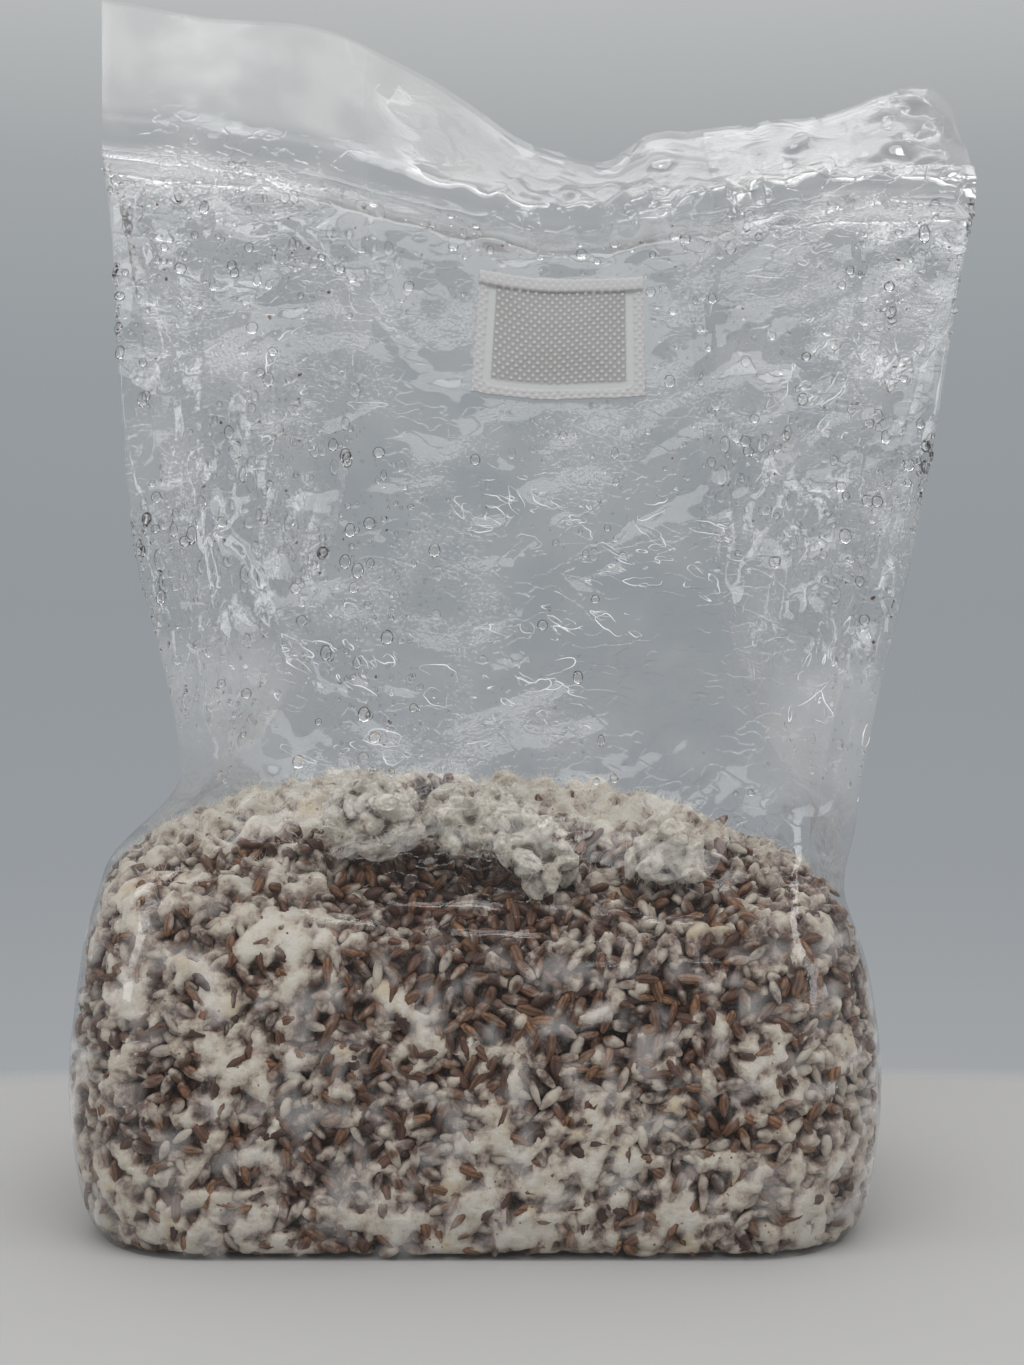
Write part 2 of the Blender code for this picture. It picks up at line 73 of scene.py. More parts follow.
def smoothstep(value: np.ndarray, low: float, high: float) -> np.ndarray:
    """Rise from 0 at low to 1 at high with level ends.

    Args:
        value: Numbers to map.
        low: Where the rise starts.
        high: Where it ends.

    Returns:
        Shares from 0 to 1.
    """
    share = np.clip((np.asarray(value, float) - low) / (high - low), 0.0, 1.0)
    return share * share * (3.0 - 2.0 * share)


def triangle_wave(phase: np.ndarray) -> np.ndarray:
    """Straight rises and falls between -1 and 1, one of each per whole phase."""
    return 1.0 - 4.0 * np.abs(phase - np.floor(phase) - 0.5)


def past_corner(over_x: np.ndarray, over_y: np.ndarray) -> np.ndarray:
    """Distance past a rectangle whose sides are over_x and over_y away, round its corners, below 0 inside."""
    return np.hypot(np.maximum(over_x, 0), np.maximum(over_y, 0)) + np.minimum(np.maximum(over_x, over_y), 0)


def unit(rows: np.ndarray) -> np.ndarray:
    """Rows of three numbers scaled to length 1."""
    return rows / np.maximum(np.linalg.norm(rows, axis=-1, keepdims=True), 1e-9)


class SmoothCurve:
    """Smooth curve through knots that never overshoots them."""

    def __init__(self, knots: list, values: list) -> None:
        """Work out the slope at each knot.

        Args:
            knots: Rising places.
            values: Value at each place.
        """
        self.knots = np.asarray(knots, float)
        self.values = np.asarray(values, float)
        self.widths = np.diff(self.knots)
        slopes = np.diff(self.values) / self.widths
        self.tangents = np.zeros(len(self.knots))
        self.tangents[0] = slopes[0]
        self.tangents[-1] = slopes[-1]
        for knot in range(1, len(self.knots) - 1):
            before, after = slopes[knot - 1], slopes[knot]
            if before * after > 0:
                self.tangents[knot] = 2.0 * before * after / (before + after)

    def __call__(self, at: np.ndarray) -> np.ndarray:
        """Value of the curve, held level beyond its ends."""
        at = np.clip(at, self.knots[0], self.knots[-1])
        index = np.clip(np.searchsorted(self.knots, at) - 1, 0, len(self.knots) - 2)
        width = self.widths[index]
        share = (at - self.knots[index]) / width
        return (
            (1 + 2 * share) * (1 - share) ** 2 * self.values[index]
            + share * (1 - share) ** 2 * width * self.tangents[index]
            + share ** 2 * (3 - 2 * share) * self.values[index + 1]
            + share ** 2 * (share - 1) * width * self.tangents[index + 1]
        )


class SolidNoise:
    """Soft random field in space, the same for the same seed."""

    TABLE = 256

    def __init__(self, seed: int) -> None:
        """Draw the field's slopes and its shuffled places."""
        draw = np.random.default_rng(seed)
        self.places = draw.permutation(self.TABLE)
        self.slopes = unit(draw.normal(size=(self.TABLE, 3)))
        self.jitter = draw.random((self.TABLE, 3))

    def _index(self, cell: np.ndarray) -> np.ndarray:
        """Place in the table for whole-numbered cells."""
        mask = self.TABLE - 1
        index = self.places[cell[:, 0] & mask]
        index = self.places[(index + cell[:, 1]) & mask]
        return self.places[(index + cell[:, 2]) & mask]

    def __call__(self, points: np.ndarray, size: float, octaves: int = 1) -> np.ndarray:
        """Value of the field at points.

        Args:
            points: Rows of three coordinates.
            size: Size of the field's lumps, in the same unit.
            octaves: How many layers of lumps there are, each half the size and strength of the last.

        Returns:
            Numbers that mostly lie from -1 to 1.
        """
        total = np.zeros(len(points))
        strength = 1.0
        for octave in range(octaves):
            place = points * (2 ** octave / size) + 17.3 * octave
            cell = np.floor(place).astype(int)
            inside = place - cell
            ease = inside ** 3 * (inside * (inside * 6 - 15) + 10)
            for corner in product((0, 1), repeat=3):
                offset = np.array(corner)
                slope = self.slopes[self._index(cell + offset)]
                weight = np.prod(np.where(offset, ease, 1 - ease), axis=1)
                total += strength * 1.6 * weight * ((inside - offset) * slope).sum(axis=1)
            strength /= 2
        return total

    def nearest(self, points: np.ndarray, size: float) -> np.ndarray:
        """Distance to the nearest of points scattered one to a cell.

        Args:
            points: Rows of three coordinates.
            size: Spacing of the scattered points, in the same unit.

        Returns:
            The distances as shares of the spacing.
        """
        place = points / size
        cell = np.floor(place).astype(int)
        least = np.full(len(points), np.inf)
        for step in product((-1, 0, 1), repeat=3):
            near = cell + np.array(step)
            distance = np.linalg.norm(near + self.jitter[self._index(near)] - place, axis=1)
            least = np.minimum(least, distance)
        return least


def deselect_all() -> None:
    """Empty the selection, so that an operator acts only on what is picked after this."""
    if bpy.context.object and bpy.context.object.mode != "OBJECT":
        bpy.ops.object.mode_set(mode="OBJECT")
    bpy.ops.object.select_all(action="DESELECT")


def pick(obj: bpy.types.Object) -> None:
    """Make an object the one that operators act on."""
    deselect_all()
    obj.select_set(True)
    bpy.context.view_layer.objects.active = obj


def select_points(obj: bpy.types.Object, test: object) -> None:
    """Enter edit mode with only the points selected that pass a test of their place.

    Args:
        obj: Object to edit.
        test: Function of a point's place that says whether it is selected.
    """
    pick(obj)
    bpy.ops.object.mode_set(mode="EDIT")
    bpy.ops.mesh.select_mode(type="VERT")
    bpy.ops.mesh.select_all(action="DESELECT")
    bpy.ops.object.mode_set(mode="OBJECT")
    for point in obj.data.vertices:
        point.select = bool(test(point.co))
    bpy.ops.object.mode_set(mode="EDIT")


def mesh_object(name: str, points: np.ndarray, faces: list,
                attributes: dict | None = None) -> bpy.types.Object:
    """Object at the origin with the given mesh, shaded smooth.

    Args:
        name: Name of the piece.
        points: Rows of three coordinates in millimetres.
        faces: Rows of point numbers.
        attributes: Numbers for each point, by name.

    Returns:
        The new object.
    """
    mesh = bpy.data.meshes.new(name)
    mesh.from_pydata((np.asarray(points) * MM).tolist(), [], faces)
    mesh.shade_smooth()
    mesh.update()
    obj = bpy.data.objects.new(name, mesh)
    bpy.context.scene.collection.objects.link(obj)
    for key, values in (attributes or {}).items():
        write_attribute(obj, key, values)
    return obj


def read_points(obj: bpy.types.Object) -> np.ndarray:
    """An object's points in millimetres."""
    flat = np.zeros(len(obj.data.vertices) * 3)
    obj.data.vertices.foreach_get("co", flat)
    return flat.reshape(-1, 3) / MM


def read_normals(obj: bpy.types.Object) -> np.ndarray:
    """An object's point normals."""
    flat = np.zeros(len(obj.data.vertices) * 3, np.float32)
    obj.data.vertices.foreach_get("normal", flat)
    return flat.reshape(-1, 3).astype(float)


def write_points(obj: bpy.types.Object, points: np.ndarray) -> None:
    """Move an object's points to places in millimetres."""
    obj.data.vertices.foreach_set("co", (points * MM).astype(np.float32).ravel())
    obj.data.update()


def write_attribute(obj: bpy.types.Object, name: str, values: np.ndarray) -> None:
    """Store one number for each point of an object."""
    layer = obj.data.attributes.new(name, "FLOAT", "POINT")
    layer.data.foreach_set("value", np.asarray(values, np.float32))


def remesh_evenly(obj: bpy.types.Object, voxel: float) -> None:
    """Give an object one closed skin of even facets of a size in millimetres."""
    pick(obj)
    remesh = obj.modifiers.new("even_facets", "REMESH")
    remesh.mode = "VOXEL"
    remesh.voxel_size = voxel * MM
    bpy.ops.object.modifier_apply(modifier=remesh.name)


def point_outwards(obj: bpy.types.Object) -> None:
    """Turn all faces of an object outwards."""
    pick(obj)
    bpy.ops.object.mode_set(mode="EDIT")
    bpy.ops.mesh.select_all(action="SELECT")
    bpy.ops.mesh.normals_make_consistent(inside=False)
    bpy.ops.object.mode_set(mode="OBJECT")


def copy_of_node(node: str, name: str, voxel: float) -> bpy.types.Object:
    """Evenly meshed copy of a node of the frame, closed and at the origin.

    Args:
        node: Name of the node.
        name: Name of the copy.
        voxel: Size of its facets in millimetres.

    Returns:
        The copy.
    """
    obj = bpy.data.objects.new(name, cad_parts[node].data.copy())
    bpy.context.scene.collection.objects.link(obj)
    pick(obj)
    bpy.ops.object.mode_set(mode="EDIT")
    bpy.ops.mesh.select_all(action="SELECT")
    bpy.ops.mesh.remove_doubles(threshold=0.00001)
    bpy.ops.object.mode_set(mode="OBJECT")
    remesh_evenly(obj, voxel)
    obj.data.materials.clear()
    obj.data.shade_smooth()
    return obj


def hollows(obj: bpy.types.Object, rounds: int) -> np.ndarray:
    """How deep each point of an object lies in a hollow, in millimetres; below 0 on ridges.

    Args:
        obj: The object, evenly meshed.
        rounds: How often the surface that it is measured from is smoothed.

    Returns:
        A depth for each point.
    """
    points, normals = read_points(obj), read_normals(obj)
    ends = np.zeros(len(obj.data.edges) * 2, np.int32)
    obj.data.edges.foreach_get("vertices", ends)
    ahead, behind = np.concatenate([ends[0::2], ends[1::2]]), np.concatenate([ends[1::2], ends[0::2]])
    links = np.bincount(ahead, minlength=len(points))[:, None]
    smooth = points
    for _ in range(rounds):
        near = [np.bincount(ahead, smooth[behind, axis], len(points)) for axis in range(3)]
        smooth = np.column_stack(near) / links
    return ((smooth - points) * normals).sum(axis=1)


def take_shape(obj: bpy.types.Object) -> tuple:
    """Points and faces of a small shape that is to be copied many times; its object is removed.

    Args:
        obj: The finished small shape, about one unit in radius.

    Returns:
        Its points and its faces.
    """
    deselect_all()
    points = read_points(obj) * MM
    faces = [tuple(face.vertices) for face in obj.data.polygons]
    mesh = obj.data
    bpy.data.objects.remove(obj)
    bpy.data.meshes.remove(mesh)
    return points, faces


def scatter(shape: tuple, places: np.ndarray, axes: np.ndarray, sizes: np.ndarray) -> tuple:
    """Many copies of a small shape as one set of points and faces.

    Args:
        shape: Points and faces of the small shape.
        places: Centre of each copy.
        axes: Each copy's own X, Y and Z directions, as rows.
        sizes: Size of each copy along its own X, Y and Z.

    Returns:
        All points, and all faces as rows of point numbers.
    """
    points, faces = shape
    scaled = points[None, :, :] * sizes[:, None, :]
    moved = np.einsum("nka,nai->nki", scaled, axes) + places[:, None, :]
    count = len(points)
    copies = [tuple(corner + count * copy for corner in face)
              for copy in range(len(places)) for face in faces]
    return moved.reshape(-1, 3), copies


def frames_on(normals: np.ndarray, turns: np.ndarray, tilts: np.ndarray) -> np.ndarray:
    """Directions for copies that lie on a surface.

    Args:
        normals: Direction out of the surface at each copy.
        turns: Angle of each copy's long axis about the normal.
        tilts: Angle by which each long axis rises from the surface.

    Returns:
        For each copy its X direction out of the surface, its Y across and its Z along the copy.
    """
    helper = np.where(np.abs(normals[:, 2:]) < 0.9, np.array([[0.0, 0.0, 1.0]]), np.array([[1.0, 0.0, 0.0]]))
    side = unit(np.cross(helper, normals))
    up = np.cross(normals, side)
    along = side * np.cos(turns)[:, None] + up * np.sin(turns)[:, None]
    long_axis = unit(along * np.cos(tilts)[:, None] + normals * np.sin(tilts)[:, None])
    across = unit(np.cross(long_axis, normals))
    out = np.cross(across, long_axis)
    return np.stack([out, across, long_axis], axis=1)


def spread_out(points: np.ndarray, spacing: np.ndarray, seed: int) -> np.ndarray:
    """Choose points so that no two lie closer than the spacing wanted there.

    Args:
        points: Rows of three coordinates to choose from.
        spacing: Least distance at each point.
        seed: Seed of the order in which they are tried.

    Returns:
        Numbers of the chosen points.
    """
    cell_size = float(spacing.max())
    cells = np.floor(points / cell_size).astype(int)
    taken = {}
    chosen = []
    near = list(product((-1, 0, 1), repeat=3))
    for index in np.random.default_rng(seed).permutation(len(points)):
        x, y, z = (int(value) for value in cells[index])
        place = points[index]
        close = [other for i, j, k in near for other in taken.get((x + i, y + j, z + k), ())]
        if close and np.min(((points[close] - place) ** 2).sum(axis=1)) < spacing[index] ** 2:
            continue
        taken.setdefault((x, y, z), []).append(index)
        chosen.append(index)
    return np.array(chosen)


class NodeTree:
    """A material's or the world's nodes, added by short calls."""

    def __init__(self, owner: object) -> None:
        """Start from an empty tree.

        Args:
            owner: The material or world whose nodes these are.
        """
        owner.use_nodes = True
        self.tree = owner.node_tree
        self.tree.nodes.clear()

    def add(self, kind: str, sockets: dict | None = None, **settings: object) -> bpy.types.Node:
        """Add one node.

        Args:
            kind: Blender's name of the node's type, without ShaderNode.
            sockets: Input name or number to a value, or to the output that feeds it.
            settings: The node's own settings.

        Returns:
            The node.
        """
        node = self.tree.nodes.new("ShaderNode" + kind)
        for key, value in settings.items():
            setattr(node, key, value)
        for key, value in (sockets or {}).items():
            socket = node.inputs[key]
            if isinstance(value, bpy.types.NodeSocket):
                self.tree.links.new(value, socket)
            else:
                socket.default_value = (*value, 1.0) if socket.type == "RGBA" else value
        return node

    def output(self, kind: str, sockets: dict | None = None, **settings: object) -> bpy.types.NodeSocket:
        """First output of a new node; the rest is as for add."""
        return self.add(kind, sockets, **settings).outputs[0]

    def place(self) -> bpy.types.NodeSocket:
        """Place on the object, in metres."""
        return self.add("TexCoord").outputs["Object"]

    def stretched(self, scale: tuple) -> bpy.types.NodeSocket:
        """Place on the object, scaled differently along each axis."""
        return self.output("Mapping", {"Vector": self.place(), "Scale": scale})

    def attribute(self, name: str) -> bpy.types.NodeSocket:
        """Number stored on the mesh under a name."""
        return self.add("Attribute", attribute_name=name).outputs["Fac"]

    def noise(self, size: float, detail: float = 2.0, vector: bpy.types.NodeSocket | None = None,
              roughness: float = 0.5, distortion: float = 0.0) -> bpy.types.NodeSocket:
        """Cloudy pattern with lumps of a size in millimetres."""
        sockets = {"Vector": vector or self.place(), "Scale": 1 / (size * MM), "Detail": detail,
                   "Roughness": roughness, "Distortion": distortion}
        return self.output("TexNoise", sockets)

    def cells(self, size: float) -> bpy.types.NodeSocket:
        """Distance pattern of scattered cells of a size in millimetres."""
        sockets = {"Vector": self.place(), "Scale": 1 / (size * MM)}
        return self.add("TexVoronoi", sockets).outputs["Distance"]

    def maths(self, operation: str, first: object, second: object = 0.0) -> bpy.types.NodeSocket:
        """Sum, product or other operation on two numbers."""
        return self.output("Math", {0: first, 1: second}, operation=operation)

    def fit(self, value: object, low: float, high: float, to_low: float = 0.0,
            to_high: float = 1.0) -> bpy.types.NodeSocket:
        """Map a range of numbers smoothly onto another."""
        sockets = {"Value": value, "From Min": low, "From Max": high, "To Min": to_low, "To Max": to_high}
        return self.output("MapRange", sockets, interpolation_type="SMOOTHSTEP")

    def blend(self, share: object, first: object, second: object) -> bpy.types.NodeSocket:
        """Mix of two colours."""
        return self.add("Mix", {0: share, 6: first, 7: second}, data_type="RGBA").outputs[2]

    def ramp(self, value: bpy.types.NodeSocket, stops: tuple) -> bpy.types.NodeSocket:
        """Colour that runs through stops, each a place and a colour."""
        node = self.add("ValToRGB", {0: value})
        elements = node.color_ramp.elements
        while len(elements) < len(stops):
            elements.new(1.0)
        for element, (place, colour) in zip(elements, stops):
            element.position = place
            element.color = (*colour, 1.0)
        return node.outputs["Color"]

    def bump(self, height: bpy.types.NodeSocket, depth: float,
             under: bpy.types.NodeSocket | None = None) -> bpy.types.NodeSocket:
        """Normal for fine relief of a depth in millimetres, on top of another one."""
        sockets = {"Height": height, "Distance": depth * MM, "Strength": 1.0}
        if under is not None:
            sockets["Normal"] = under
        return self.output("Bump", sockets)


class Finish:
    """A material by name, whose nodes its subclass lays."""

    name = ""

    def lay(self, nodes: NodeTree) -> bpy.types.NodeSocket:
        """Lay the nodes and give the shader that they end in."""
        raise NotImplementedError

    def build(self) -> bpy.types.Material:
        """Make the material."""
        material = bpy.data.materials.new(self.name)
        nodes = NodeTree(material)
        nodes.add("OutputMaterial", {"Surface": self.lay(nodes)})
        return material


@dataclass(frozen=True)
class FilmFinish(Finish):
    """Clear film: mirror-like in proportion to the angle, faintly hazy, beaded where it is damp."""

    name = "film"
    tint: tuple = (0.99, 0.993, 0.996)
    haze_colour: tuple = (0.88, 0.865, 0.85)
    index: float = 1.5
    faces: float = 1.2
    steepest: float = 0.32
    roughness: float = 0.06
    relief: float = 0.17
    web_size: float = 7.5
    web_width: float = 0.035
    mist_size: float = 0.75
    damp_haze: float = 0.02
    mist_haze: float = 0.10
    weld_haze: float = 0.05

    def lay(self, nodes: NodeTree) -> bpy.types.NodeSocket:
        """Lay the nodes and give the shader that they end in."""
        damp = nodes.attribute("damp")
        level = nodes.noise(self.web_size, 1.5, vector=nodes.stretched((1.0, 1.0, 1.6)))
        web = nodes.fit(nodes.maths("ABSOLUTE", nodes.maths("SUBTRACT", level, 0.5)), 0.0, self.web_width)
        web = nodes.maths("MULTIPLY", web, nodes.attribute("slack"))
        mist = nodes.maths("MULTIPLY", nodes.fit(nodes.noise(self.mist_size, 0.0), 0.5, 0.72), damp)
        normal = nodes.bump(nodes.maths("ADD", web, nodes.maths("MULTIPLY", mist, 0.7)), self.relief)
        glance = nodes.output("Fresnel", {"IOR": self.index, "Normal": normal})
        mirror = nodes.maths("MINIMUM", nodes.maths("MULTIPLY", glance, self.faces), self.steepest)
        mirror = nodes.maths("MULTIPLY", mirror, nodes.attribute("gloss"))
        cloud = nodes.maths("ADD", nodes.attribute("milk"), nodes.maths("MULTIPLY", damp, self.damp_haze))
        cloud = nodes.maths("ADD", cloud, nodes.maths("MULTIPLY", mist, self.mist_haze))
        cloud = nodes.maths("ADD", cloud, nodes.maths("MULTIPLY", nodes.attribute("weld"), self.weld_haze))
        clear = nodes.output("BsdfTransparent", {"Color": self.tint})
        haze = nodes.output("BsdfDiffuse", {"Color": self.haze_colour})
        body = nodes.output("MixShader", {0: cloud, 1: clear, 2: haze})
        gloss = nodes.output("BsdfGlossy", {"Roughness": self.roughness, "Normal": normal})
        return nodes.output("MixShader", {0: mirror, 1: body, 2: gloss})


@dataclass(frozen=True)
class WaterFinish(Finish):
    """Clear water of the beads on the film."""

    name = "water"
    index: float = 1.333

    def lay(self, nodes: NodeTree) -> bpy.types.NodeSocket:
        """Lay the nodes and give the shader that they end in."""
        sockets = {"Base Color": (1.0, 1.0, 1.0), "Roughness": 0.0, "IOR": self.index,
                   "Transmission Weight": 1.0}
        return nodes.output("BsdfPrincipled", sockets)


@dataclass(frozen=True)
class PaintedGlintRimFinish(Finish):
    """Rim of a wet patch that clings to the film, near white: a painted highlight on a real thread of relief.
    """

    name = "wet_rim_painted_glint"
    colour: tuple = (0.9, 0.92, 0.93)
    dull: tuple = (0.7, 0.73, 0.75)

    def lay(self, nodes: NodeTree) -> bpy.types.NodeSocket:
        """Lay the nodes and give the shader that they end in."""
        # Painted highlight: the near-white colour stands for the glint along the rim.
        tone = nodes.blend(nodes.noise(2.0, 2.0), self.dull, self.colour)
        sockets = {"Base Color": tone, "Roughness": 0.15}
        return nodes.output("BsdfPrincipled", sockets)


def growth_share(nodes: NodeTree) -> tuple:
    """How thick the mycelium is at each place, wisps and all, in one pattern for the mass and its kernels.

    Args:
        nodes: The material under way; its piece has the attribute cover.

    Returns:
        The share, and the wisps by themselves.
    """
    wisps = nodes.noise(2.4, 3.0, roughness=0.68)
    swing = nodes.maths("MULTIPLY", nodes.maths("SUBTRACT", wisps, 0.5), 1.25)
    return nodes.maths("ADD", nodes.attribute("cover"), swing), wisps


@dataclass(frozen=True)
class GrownFinish(Finish):
    """Mycelium that fills the block: cream-white where it is thick, with painted shade, near-black to dusky,
    where the block is hollow.
    """

    name = "mycelium_grown"
    hollow_shade: tuple = (0.016, 0.008, 0.006)
    shade: tuple = (0.105, 0.070, 0.058)
    veil: tuple = (0.285, 0.225, 0.190)
    growth: tuple = (0.47, 0.42, 0.345)
    crown: tuple = (0.53, 0.50, 0.445)
    stain: tuple = (0.46, 0.34, 0.18)
    crumb: tuple = (0.12, 0.055, 0.03)
    roughness: float = 0.78

    def lay(self, nodes: NodeTree) -> bpy.types.NodeSocket:
        """Lay the nodes and give the shader that they end in."""
        mixed, wisps = growth_share(nodes)
        # Painted shade: the near-black and dusky stops at low cover darken the deep gaps between kernels, over
        # the bare grain's own dark brown.
        tone = nodes.ramp(mixed, ((0.14, self.hollow_shade), (0.36, self.shade), (0.54, self.veil),
                                  (0.76, self.growth), (1.0, self.crown)))
        mottle = nodes.fit(nodes.noise(0.9, 3.0), 0.45, 0.75, 0.0, 0.3)
        mottle = nodes.maths("MULTIPLY", mottle, nodes.fit(mixed, 1.0, 0.8))
        tone = nodes.blend(mottle, tone, self.veil)
        # Painted shade: the mass darkens towards the shade colour where it lies deep in a hollow of its open
        # top.
        tone = nodes.blend(nodes.fit(nodes.attribute("low"), 0.15, 0.95, 0.0, 0.75), tone, self.shade)
        stains = nodes.maths("MULTIPLY", nodes.fit(nodes.noise(9.0, 4.0), 0.58, 0.72, 0.0, 0.55),
                             nodes.fit(mixed, 0.55, 0.8))
        tone = nodes.blend(stains, tone, self.stain)
        crumbs = nodes.maths("MULTIPLY", nodes.fit(nodes.cells(1.7), 0.2, 0.1),
                             nodes.fit(nodes.noise(7.0, 1.0), 0.55, 0.62))
        tone = nodes.blend(crumbs, tone, self.crumb)
        normal = nodes.bump(wisps, 0.5)
        normal = nodes.bump(nodes.noise(0.5, 1.0), 0.08, under=normal)
        sockets = {"Base Color": tone, "Roughness": self.roughness, "Normal": normal, "Sheen Weight": 0.15,
                   "Sheen Roughness": 0.5}
        return nodes.output("BsdfPrincipled", sockets)


@dataclass(frozen=True)
class KernelFinish(Finish):
    """Rye kernels: streaked reddish brown, veiled by mycelium to a different degree on each."""

    name = "rye_kernel"
    dark: tuple = (0.045, 0.020, 0.014)
    red: tuple = (0.155, 0.069, 0.036)
    tan: tuple = (0.30, 0.145, 0.060)
    haze: tuple = (0.17, 0.128, 0.112)
    veil: tuple = (0.33, 0.285, 0.245)
    growth: tuple = (0.47, 0.42, 0.345)
    stripe_turns: float = 9.5

    def lay(self, nodes: NodeTree) -> bpy.types.NodeSocket:
        """Lay the nodes and give the shader that they end in."""
        tone = nodes.ramp(nodes.attribute("tone"), ((0.0, self.dark), (0.5, self.red), (1.0, self.tan)))
        grain = nodes.noise(0.6, 2.0)
        tone = nodes.blend(nodes.fit(grain, 0.35, 0.7, 0.0, 0.5), tone, self.dark)
        # Painted shade: the furrow down each kernel is darkened towards the dark colour.
        tone = nodes.blend(nodes.maths("MULTIPLY", nodes.attribute("furrow_shade"), 0.75), tone, self.dark)
        stripes = nodes.maths("COSINE", nodes.maths("MULTIPLY", nodes.attribute("across"), self.stripe_turns))
        tone = nodes.blend(nodes.fit(stripes, 0.2, 1.0, 0.0, 0.75), tone, self.dark)
        mixed, _ = growth_share(nodes)
        coat = nodes.maths("ADD", mixed, nodes.attribute("coat"))
        felt = nodes.ramp(coat, ((0.34, self.haze), (0.60, self.veil), (0.95, self.growth)))
        tone = nodes.blend(nodes.fit(coat, 0.20, 0.70, 0.0, 0.96), tone, felt)
        normal = nodes.bump(nodes.noise(0.5, 1.0), 0.06)
        sockets = {"Base Color": tone, "Roughness": 0.5, "Normal": normal}
        return nodes.output("BsdfPrincipled", sockets)


@dataclass(frozen=True)
class ClodFinish(Finish):
    """Thick felted mycelium of the loose clods, with kernel skin showing through in spots, and painted shade in
    the felt's dips and in the hollows between kernels.
    """

    name = "mycelium_clod"
    felt: tuple = (0.55, 0.52, 0.455)
    shadow: tuple = (0.36, 0.325, 0.275)
    kernel: tuple = (0.17, 0.085, 0.045)
    gap: tuple = (0.085, 0.062, 0.050)

    def lay(self, nodes: NodeTree) -> bpy.types.NodeSocket:
        """Lay the nodes and give the shader that they end in."""
        low = nodes.attribute("low")
        felt = nodes.noise(1.5, 3.0, roughness=0.65)
        # Painted shade: the felt darkens where its bump relief dips.
        tone = nodes.blend(nodes.fit(felt, 0.35, 0.65), self.shadow, self.felt)
        spots = nodes.fit(nodes.noise(2.8, 3.0, roughness=0.6), 0.60, 0.68, 0.0, 0.8)
        tone = nodes.blend(spots, tone, self.kernel)
        # Painted shade: near-black in the hollows between the felted kernels.
        tone = nodes.blend(nodes.fit(low, 0.05, 0.45, 0.0, 0.92), tone, self.gap)
        normal = nodes.bump(felt, 0.5)
        normal = nodes.bump(nodes.noise(0.4, 2.0), 0.12, under=normal)
        sockets = {"Base Color": tone, "Roughness": 0.85, "Normal": normal, "Sheen Weight": 0.2}
        return nodes.output("BsdfPrincipled", sockets)


@dataclass(frozen=True)
class FluffFinish(Finish):
    """Single threads of mycelium, thin enough to let light through."""

    name = "mycelium_threads"
    colour: tuple = (0.86, 0.84, 0.79)
    dull: tuple = (0.7, 0.67, 0.61)
    through: float = 0.4

    def lay(self, nodes: NodeTree) -> bpy.types.NodeSocket:
        """Lay the nodes and give the shader that they end in."""
        tone = nodes.blend(nodes.noise(3.0, 2.0), self.dull, self.colour)
        near = nodes.output("BsdfDiffuse", {"Color": tone})
        through = nodes.output("BsdfTranslucent", {"Color": tone})
        return nodes.output("MixShader", {0: self.through, 1: near, 2: through})


@dataclass(frozen=True)
class FilterFinish(Finish):
    """Nonwoven filter cloth: pale fibres, greyer in the pressed points, partly the bond and partly painted
    shade of the emboss, glossier in the weld.
    """

    name = "filter_cloth"
    fibre: tuple = (0.42, 0.42, 0.43)
    pressed_and_shade: tuple = (0.26, 0.26, 0.26)
    weld: tuple = (0.37, 0.38, 0.385)

    def lay(self, nodes: NodeTree) -> bpy.types.NodeSocket:
        """Lay the nodes and give the shader that they end in."""
        fibres = nodes.noise(0.3, 3.0, vector=nodes.stretched((1.0, 1.0, 2.4)), distortion=1.2)
        # Pressed grey: partly the bonded cloth's own colour, partly painted shade in the low cloth between the
        # raised dots.
        tone = nodes.blend(nodes.fit(nodes.attribute("press_and_shade"), 0.1, 0.9), self.fibre, self.pressed_and_shade)
        tone = nodes.blend(nodes.fit(fibres, 0.4, 0.75, 0.0, 0.25), tone, self.pressed_and_shade)
        tone = nodes.blend(nodes.attribute("weld"), tone, self.weld)
        rough = nodes.fit(nodes.attribute("weld"), 0.0, 1.0, 0.8, 0.35)
        normal = nodes.bump(fibres, 0.07)
        sockets = {"Base Color": tone, "Roughness": rough, "Normal": normal}
        return nodes.output("BsdfPrincipled", sockets)


@dataclass(frozen=True)
class FloorFinish(Finish):
    """Pale card under the bag, whose edge fades into the backdrop."""

    name = "floor_card"
    colour: tuple = (0.42, 0.42, 0.42)
    half_width: float = 0.24
    half_depth: float = 0.145

    def lay(self, nodes: NodeTree) -> bpy.types.NodeSocket:
        """Lay the nodes and give the shader that they end in."""
        place = nodes.add("SeparateXYZ", {0: nodes.place()})
        ends = []
        for axis, half in ((0, self.half_width), (1, self.half_depth)):
            along = nodes.maths("ABSOLUTE", nodes.maths("DIVIDE", place.outputs[axis], half))
            ends.append(nodes.maths("POWER", along, 5.0))
        fade = nodes.fit(nodes.maths("ADD", *ends), 0.35, 1.0)
        darker = tuple(0.97 * value for value in self.colour)
        tone = nodes.blend(nodes.noise(60.0, 2.0), darker, self.colour)
        card = nodes.output("BsdfDiffuse", {"Color": tone})
        clear = nodes.output("BsdfTransparent")
        return nodes.output("MixShader", {0: fade, 1: card, 2: clear})


